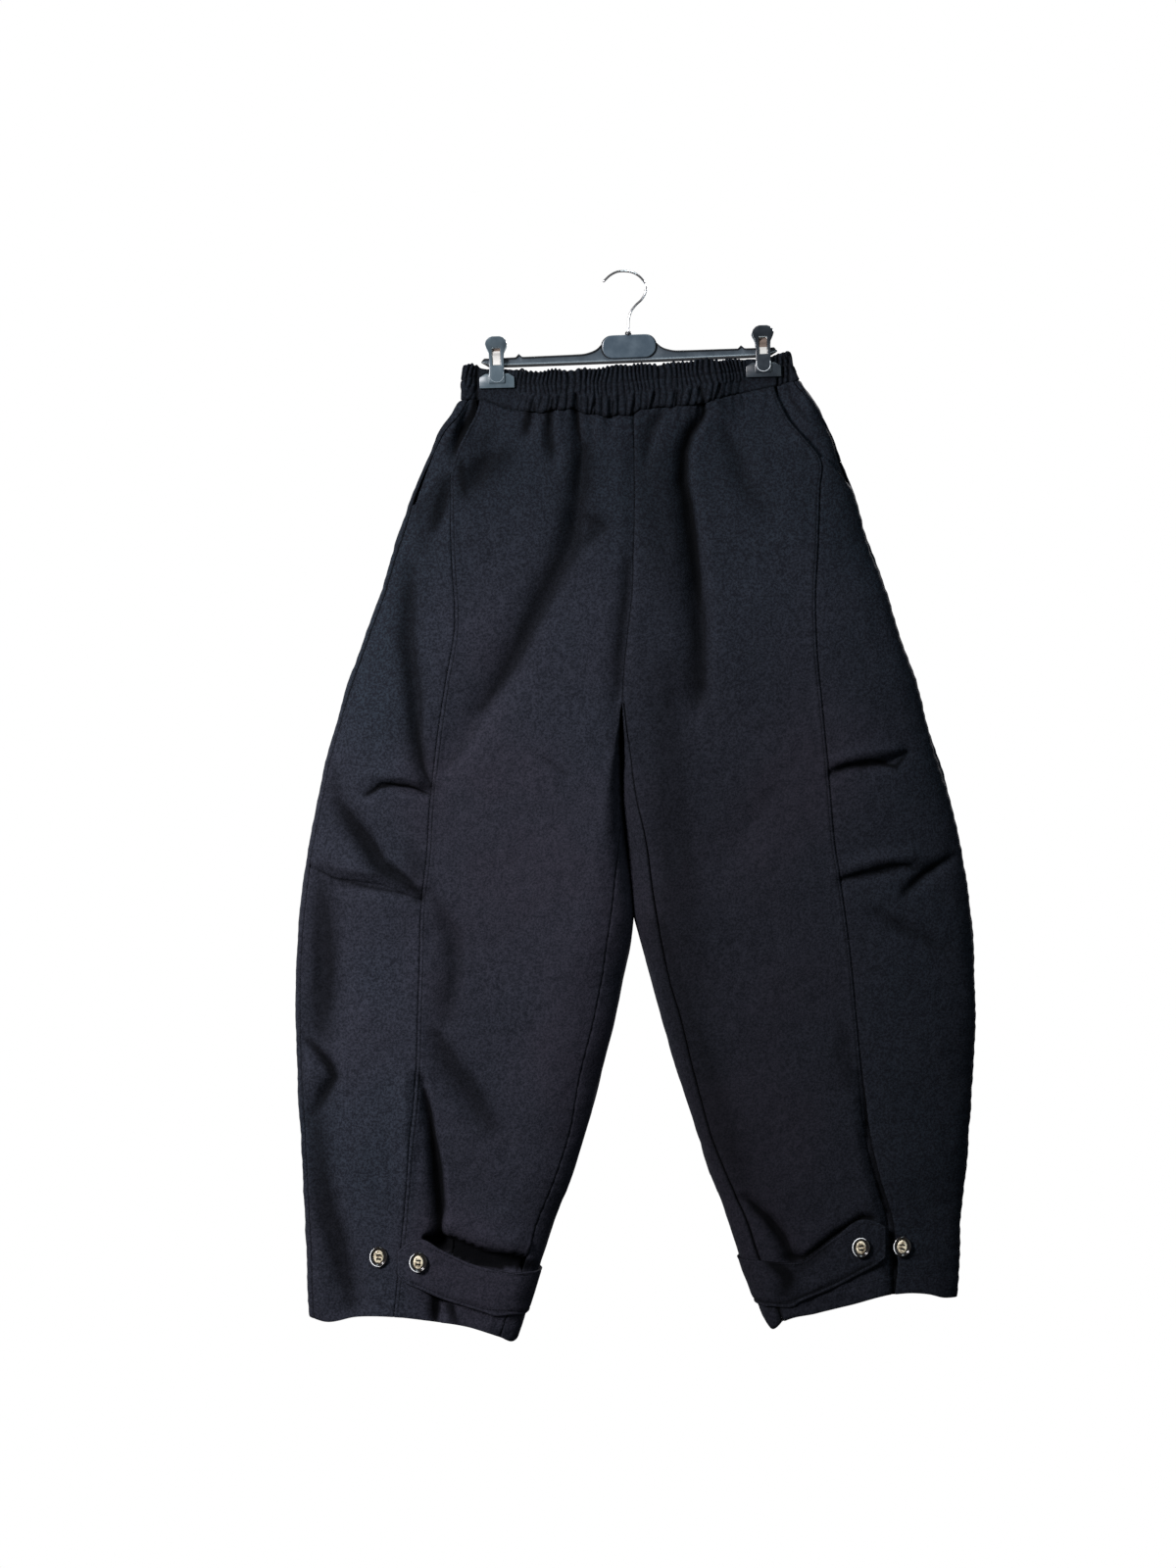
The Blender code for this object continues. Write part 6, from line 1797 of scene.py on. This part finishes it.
def stitched(name, paths, tree, look, pitch=SEAM_THREAD[0], length=SEAM_THREAD[1], radius=SEAM_THREAD[2]):
    """A mesh of stitches along paths given in metres."""
    points = [tuple(p) for path in paths for p in path]
    edges = []
    start = 0
    for path in paths:
        edges += [(start + k, start + k + 1) for k in range(len(path) - 1)]
        start += len(path)
    mesh = bpy.data.meshes.new(f"{name}_paths")
    mesh.from_pydata(points, edges, [])
    carrier = linked(f"{name}_paths", mesh)
    run = carrier.modifiers.new("stitches", "NODES")
    run.node_group = tree
    given = {"Pitch": pitch * MM, "Stitch length": length * MM, "Thread radius": radius * MM, "Look": look}
    for item in tree.interface.items_tree:
        if item.in_out == "INPUT" and item.name in given:
            run[item.identifier] = given[item.name]
    bpy.context.view_layer.update()
    graph = bpy.context.evaluated_depsgraph_get()
    made_mesh = bpy.data.meshes.new_from_object(carrier.evaluated_get(graph))
    bpy.data.objects.remove(carrier, do_unlink=True)
    return linked(name, made_mesh)


def surfaces(pieces):
    """Search trees over the finished cloth."""
    graph = bpy.context.evaluated_depsgraph_get()
    trees = []
    for piece in pieces:
        evaluated = piece.evaluated_get(graph)
        mesh = evaluated.to_mesh()
        places = [v.co.copy() for v in mesh.vertices]
        polygons = [tuple(p.vertices) for p in mesh.polygons]
        trees.append(BVHTree.FromPolygons(places, polygons))
        evaluated.to_mesh_clear()
    return trees


def laid(trees, places, front=True, rise=0.12):
    """A path of x and drop in millimetres laid on the cloth as seen from the front or the back."""
    side = 1.0 if front else -1.0
    way = Vector((0.0, side, 0.0))
    paths = [[]]
    for x, drop in places:
        start = Vector((x * MM, -side * SEARCH_FROM, -drop * MM))
        best = None
        for tree in trees:
            hit, normal, _, distance = tree.ray_cast(start, way, SEARCH_FROM)
            if hit is not None and (best is None or distance < best[0]):
                best = (distance, hit, normal)
        if best is None or abs(best[2].y) < GRAZING:
            if paths[-1]:
                paths.append([])
            continue
        spot = best[1] + best[2] * rise * MM
        if paths[-1] and abs(spot.y - paths[-1][-1].y) > STEP_BACK * MM:
            paths.append([])
        paths[-1].append(spot)
    return [path for path in paths if len(path) > 2]


# ---- putting it together


def own(piece, slot_name, *nodes):
    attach(piece, "root")
    if nodes:
        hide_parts(*nodes)
    return piece


def trousers(looks):
    cloth = []
    cuts = {
        # panel: flat width, length, share of that rectangle that is cloth
        "side": (0.150, 0.905, 0.80),
        "middle": (0.245, 0.985, 0.86),
        "back": (0.560, 0.985, 0.80),
    }
    nodes = {"side": "front_side", "middle": "front_centre", "back": "back"}
    for leg in LEGS.values():
        for panel, (wide, long, share) in cuts.items():
            made = leg_panel(leg, panel, looks["knit"])
            own(made, "black_knit", f"{nodes[panel]}_{leg['name']}")
            cloth.append(made)
        made = pocket_facing(leg, looks["knit"])
        own(made, "black_knit", f"pocket_facing_{leg['name']}")
        cloth.append(made)
    band = waistband(looks["knit"])
    own(band, "black_knit", "waistband_front", "waistband_back")
    tabs = []
    for leg in LEGS.values():
        made = hem_tab(leg, looks["knit"])
        own(made, "black_knit", f"strap_{leg['name']}")
        tabs.append(made)
    return cloth, band, tabs


def seam_stitches(cloth, band, tabs, tree, look):
    """All rows of stitches that show."""
    legs_tree = surfaces(cloth)
    band_tree = surfaces([band])
    tab_tree = surfaces(tabs)
    paths = []
    for leg in LEGS.values():
        drops = np.arange(*SEAM_ROW, PATH_STEP)
        seam = curve(leg["outline"], drops, 2)
        paths += laid(legs_tree, zip(seam - leg["side"] * STITCH_IN, drops))
        xs = np.arange(*HEM_ROWS[leg["name"]], PATH_STEP)
        for front in (True, False):
            paths += laid(legs_tree, zip(xs, curve(leg["hem"], xs) - HEM_DEEP), front)
    made = stitched("seam_stitches", paths, tree, look)
    own(made, "black_knit")
    xs = np.arange(-172.0, 184.0, FINE_STEP)
    paths = []
    for front in (True, False):
        top = curve(WAIST_TOP, xs)
        low = waist_seam(xs)
        paths += laid(band_tree, zip(xs, top + (low - top) * BAND_ROW), front)
    made = stitched("band_stitches", paths, tree, look, *BAND_THREAD)
    own(made, "black_knit")
    paths = []
    for name, rows in TABS.items():
        at, top, bottom = np.array(sorted((*rows, (TAB_ENDS[name], *TAB_TURN[name]))), float).T
        xs = np.arange(at[0] + 3.6, at[-1] - 3.6, FINE_STEP)
        paths += laid(tab_tree, zip(xs, np.interp(xs, at, top) + TAB_ROW))
        paths += laid(tab_tree, zip(xs, np.interp(xs, at, bottom) - TAB_ROW))
    made = stitched("tab_stitches", paths, tree, look)
    own(made, "black_knit")


def hanger(looks):
    # The near-black plaque_painted_shade body shows only as painted shade in the groove round the plaque
    made = [bar(looks["plastic"], looks["web"], looks["edge_left"]), plaque(looks["plaque"]),
            collar(looks["plastic"]), plaque(looks["hole"], "plaque_painted_shade", 1.1, 0.9)]
    for piece in made:
        own(piece, "slate_plastic", "hanger_bar")
    own(hook(looks["chrome"]), "chrome_wire", "hanger_hook")
    for clip in CLIPS:
        look = looks[f"clip_{clip}"]
        own(lever(clip, -1, look), "slate_plastic", f"clip_{clip}_front")
        own(lever(clip, 1, look), "slate_plastic", f"clip_{clip}_back")
        own(spring(clip, looks["steel"], looks["tarnish"]), "spring_steel", f"clip_{clip}_spring")
        for face, end in ((-1, "front"), (1, "back")):
            glinting = looks["edge_left" if clip == "left" else "edge"]
            own(tongue_edge(clip, face, glinting), "slate_plastic", f"clip_{clip}_{end}")


def buttons(looks):
    for (name, (x, drop)), turn in zip(BUTTONS.items(), (0.05, -0.04, 0.08, -0.06)):
        leg = LEGS["left" if "left" in name else "right"]
        under = TAB_LIFT + TAB if "strap" in name else 0.0
        short = name.replace("button_", "")
        made = button(f"horn_{short}", leg, x, drop, under + GAP + 0.25, looks, turn)
        own(join(f"horn_{short}", made), "horn_button", name)


def stage():
    """A pale floor that fades into the pale room, soft light and the camera."""
    made = Finish("pale floor")
    place = made.place()
    far = made.node("ShaderNodeVectorMath", {"operation": "LENGTH"}, out=0)
    made.tree.links.new(place.socket, far.socket.node.inputs[0])
    far = Value(made.tree, far.socket.node.outputs["Value"])
    grain = made.noise(place, 3.0, 3.0)
    made.set(Base_Color=made.mix(grain, (0.86, 0.86, 0.865), (0.9, 0.9, 0.9)), Roughness=0.9)
    clear = made.tree.nodes.new("ShaderNodeBsdfTransparent")
    blend = made.tree.nodes.new("ShaderNodeMixShader")
    made.feed(blend.inputs[0], made.steps(far, 0.3, 1.15))
    made.tree.links.new(made.shader.outputs[0], blend.inputs[1])
    made.tree.links.new(clear.outputs[0], blend.inputs[2])
    output = made.tree.nodes["Material Output"]
    made.tree.links.new(blend.outputs[0], output.inputs["Surface"])
    mesh = bpy.data.meshes.new("floor")
    size, level = FLOOR["half"], FLOOR["height"]
    mesh.from_pydata([(-size, -size, level), (size, -size, level), (size, size, level),
                      (-size, size, level)], [], [(0, 1, 2, 3)])
    mesh.materials.append(made.material)
    linked("floor", mesh)

    world = bpy.data.worlds.new("pale room")
    bpy.context.scene.world = world
    world.use_nodes = True
    tree = world.node_tree
    background = tree.nodes["Background"]
    background.inputs["Color"].default_value = (1.0, 1.0, 1.0, 1.0)
    path = tree.nodes.new("ShaderNodeLightPath")
    strength = tree.nodes.new("ShaderNodeMapRange")
    tree.links.new(path.outputs["Is Camera Ray"], strength.inputs["Value"])
    strength.inputs["To Min"].default_value = ROOM_LIGHT
    strength.inputs["To Max"].default_value = 1.0
    tree.links.new(strength.outputs[0], background.inputs["Strength"])

    for name, where, aim, power, wide, colour in LAMPS:
        light = bpy.data.lights.new(name, "AREA")
        light.energy = power
        light.shape = "DISK"
        light.size = wide
        light.color = colour
        lamp = linked(name, light)
        lamp.location = where
        lamp.rotation_euler = (Vector(aim) - Vector(where)).to_track_quat("-Z", "Y").to_euler()

    view = bpy.data.cameras.new("camera")
    view.sensor_fit = "VERTICAL"
    view.sensor_height = CAMERA["sensor"]
    view.lens = CAMERA["sensor"] * CAMERA["away"] / CAMERA["view_height"]
    camera = linked("camera", view)
    camera.location = (CAMERA["x"], -CAMERA["away"], CAMERA["height"])
    camera.rotation_euler = (math.radians(90.0), 0.0, 0.0)
    bpy.context.scene.camera = camera
    bpy.context.scene.view_settings.view_transform = "Standard"


def main():
    looks = {
        "knit": knit("black knit", 1.3),
        "thread": plain("black thread", (0.003, 0.0034, 0.0045), 0.8, 0.04),
        "plastic": plain("black plastic", (0.0035, 0.0042, 0.0055), 0.45),
        "web": moulded("slate plastic", (0.022, 0.030, 0.038), (0.050, 0.064, 0.078)),
        "plaque": moulded("plaque plastic", (0.026, 0.039, 0.052), (0.060, 0.080, 0.098)),
        "clip_left": moulded("left clip plastic", (0.038, 0.054, 0.066), (0.075, 0.098, 0.115)),
        "clip_right": moulded("right clip plastic", (0.008, 0.011, 0.015), (0.024, 0.031, 0.038)),
        # Painted highlights: pale threads and strips where the light catches an edge, and the pale crescent
        # on each button's rim
        "edge": plain("pale worn edge", (0.45, 0.48, 0.50), 0.3),
        "edge_left": plain("soft worn edge", (0.15, 0.18, 0.20), 0.4),
        "rim_glint": plain("pale horn", (0.78, 0.80, 0.82), 0.25),
        "chrome": metal("chrome wire", (0.62, 0.62, 0.64), 0.16, (1.0, 1.0, 0.1)),
        "steel": metal("spring steel", (0.70, 0.69, 0.66), 0.30, (0.1, 1.0, 1.0), 0.6),
        "tarnish": metal("tarnished steel", (0.20, 0.155, 0.13), 0.35, (0.1, 1.0, 1.0), 0.6),
        "rim": plain("dark horn", (0.008, 0.007, 0.007), 0.16),
        "horn": horn("cream horn"),
        "hole": plain("hole shade", (0.003, 0.003, 0.003), 0.8, 0.1),
    }
    cloth, band, tabs = trousers(looks)
    hanger(looks)
    buttons(looks)
    seam_stitches(cloth, band, tabs, stitch_tree(), looks["thread"])
    stage()


main()
bpy.context.view_layer.update()
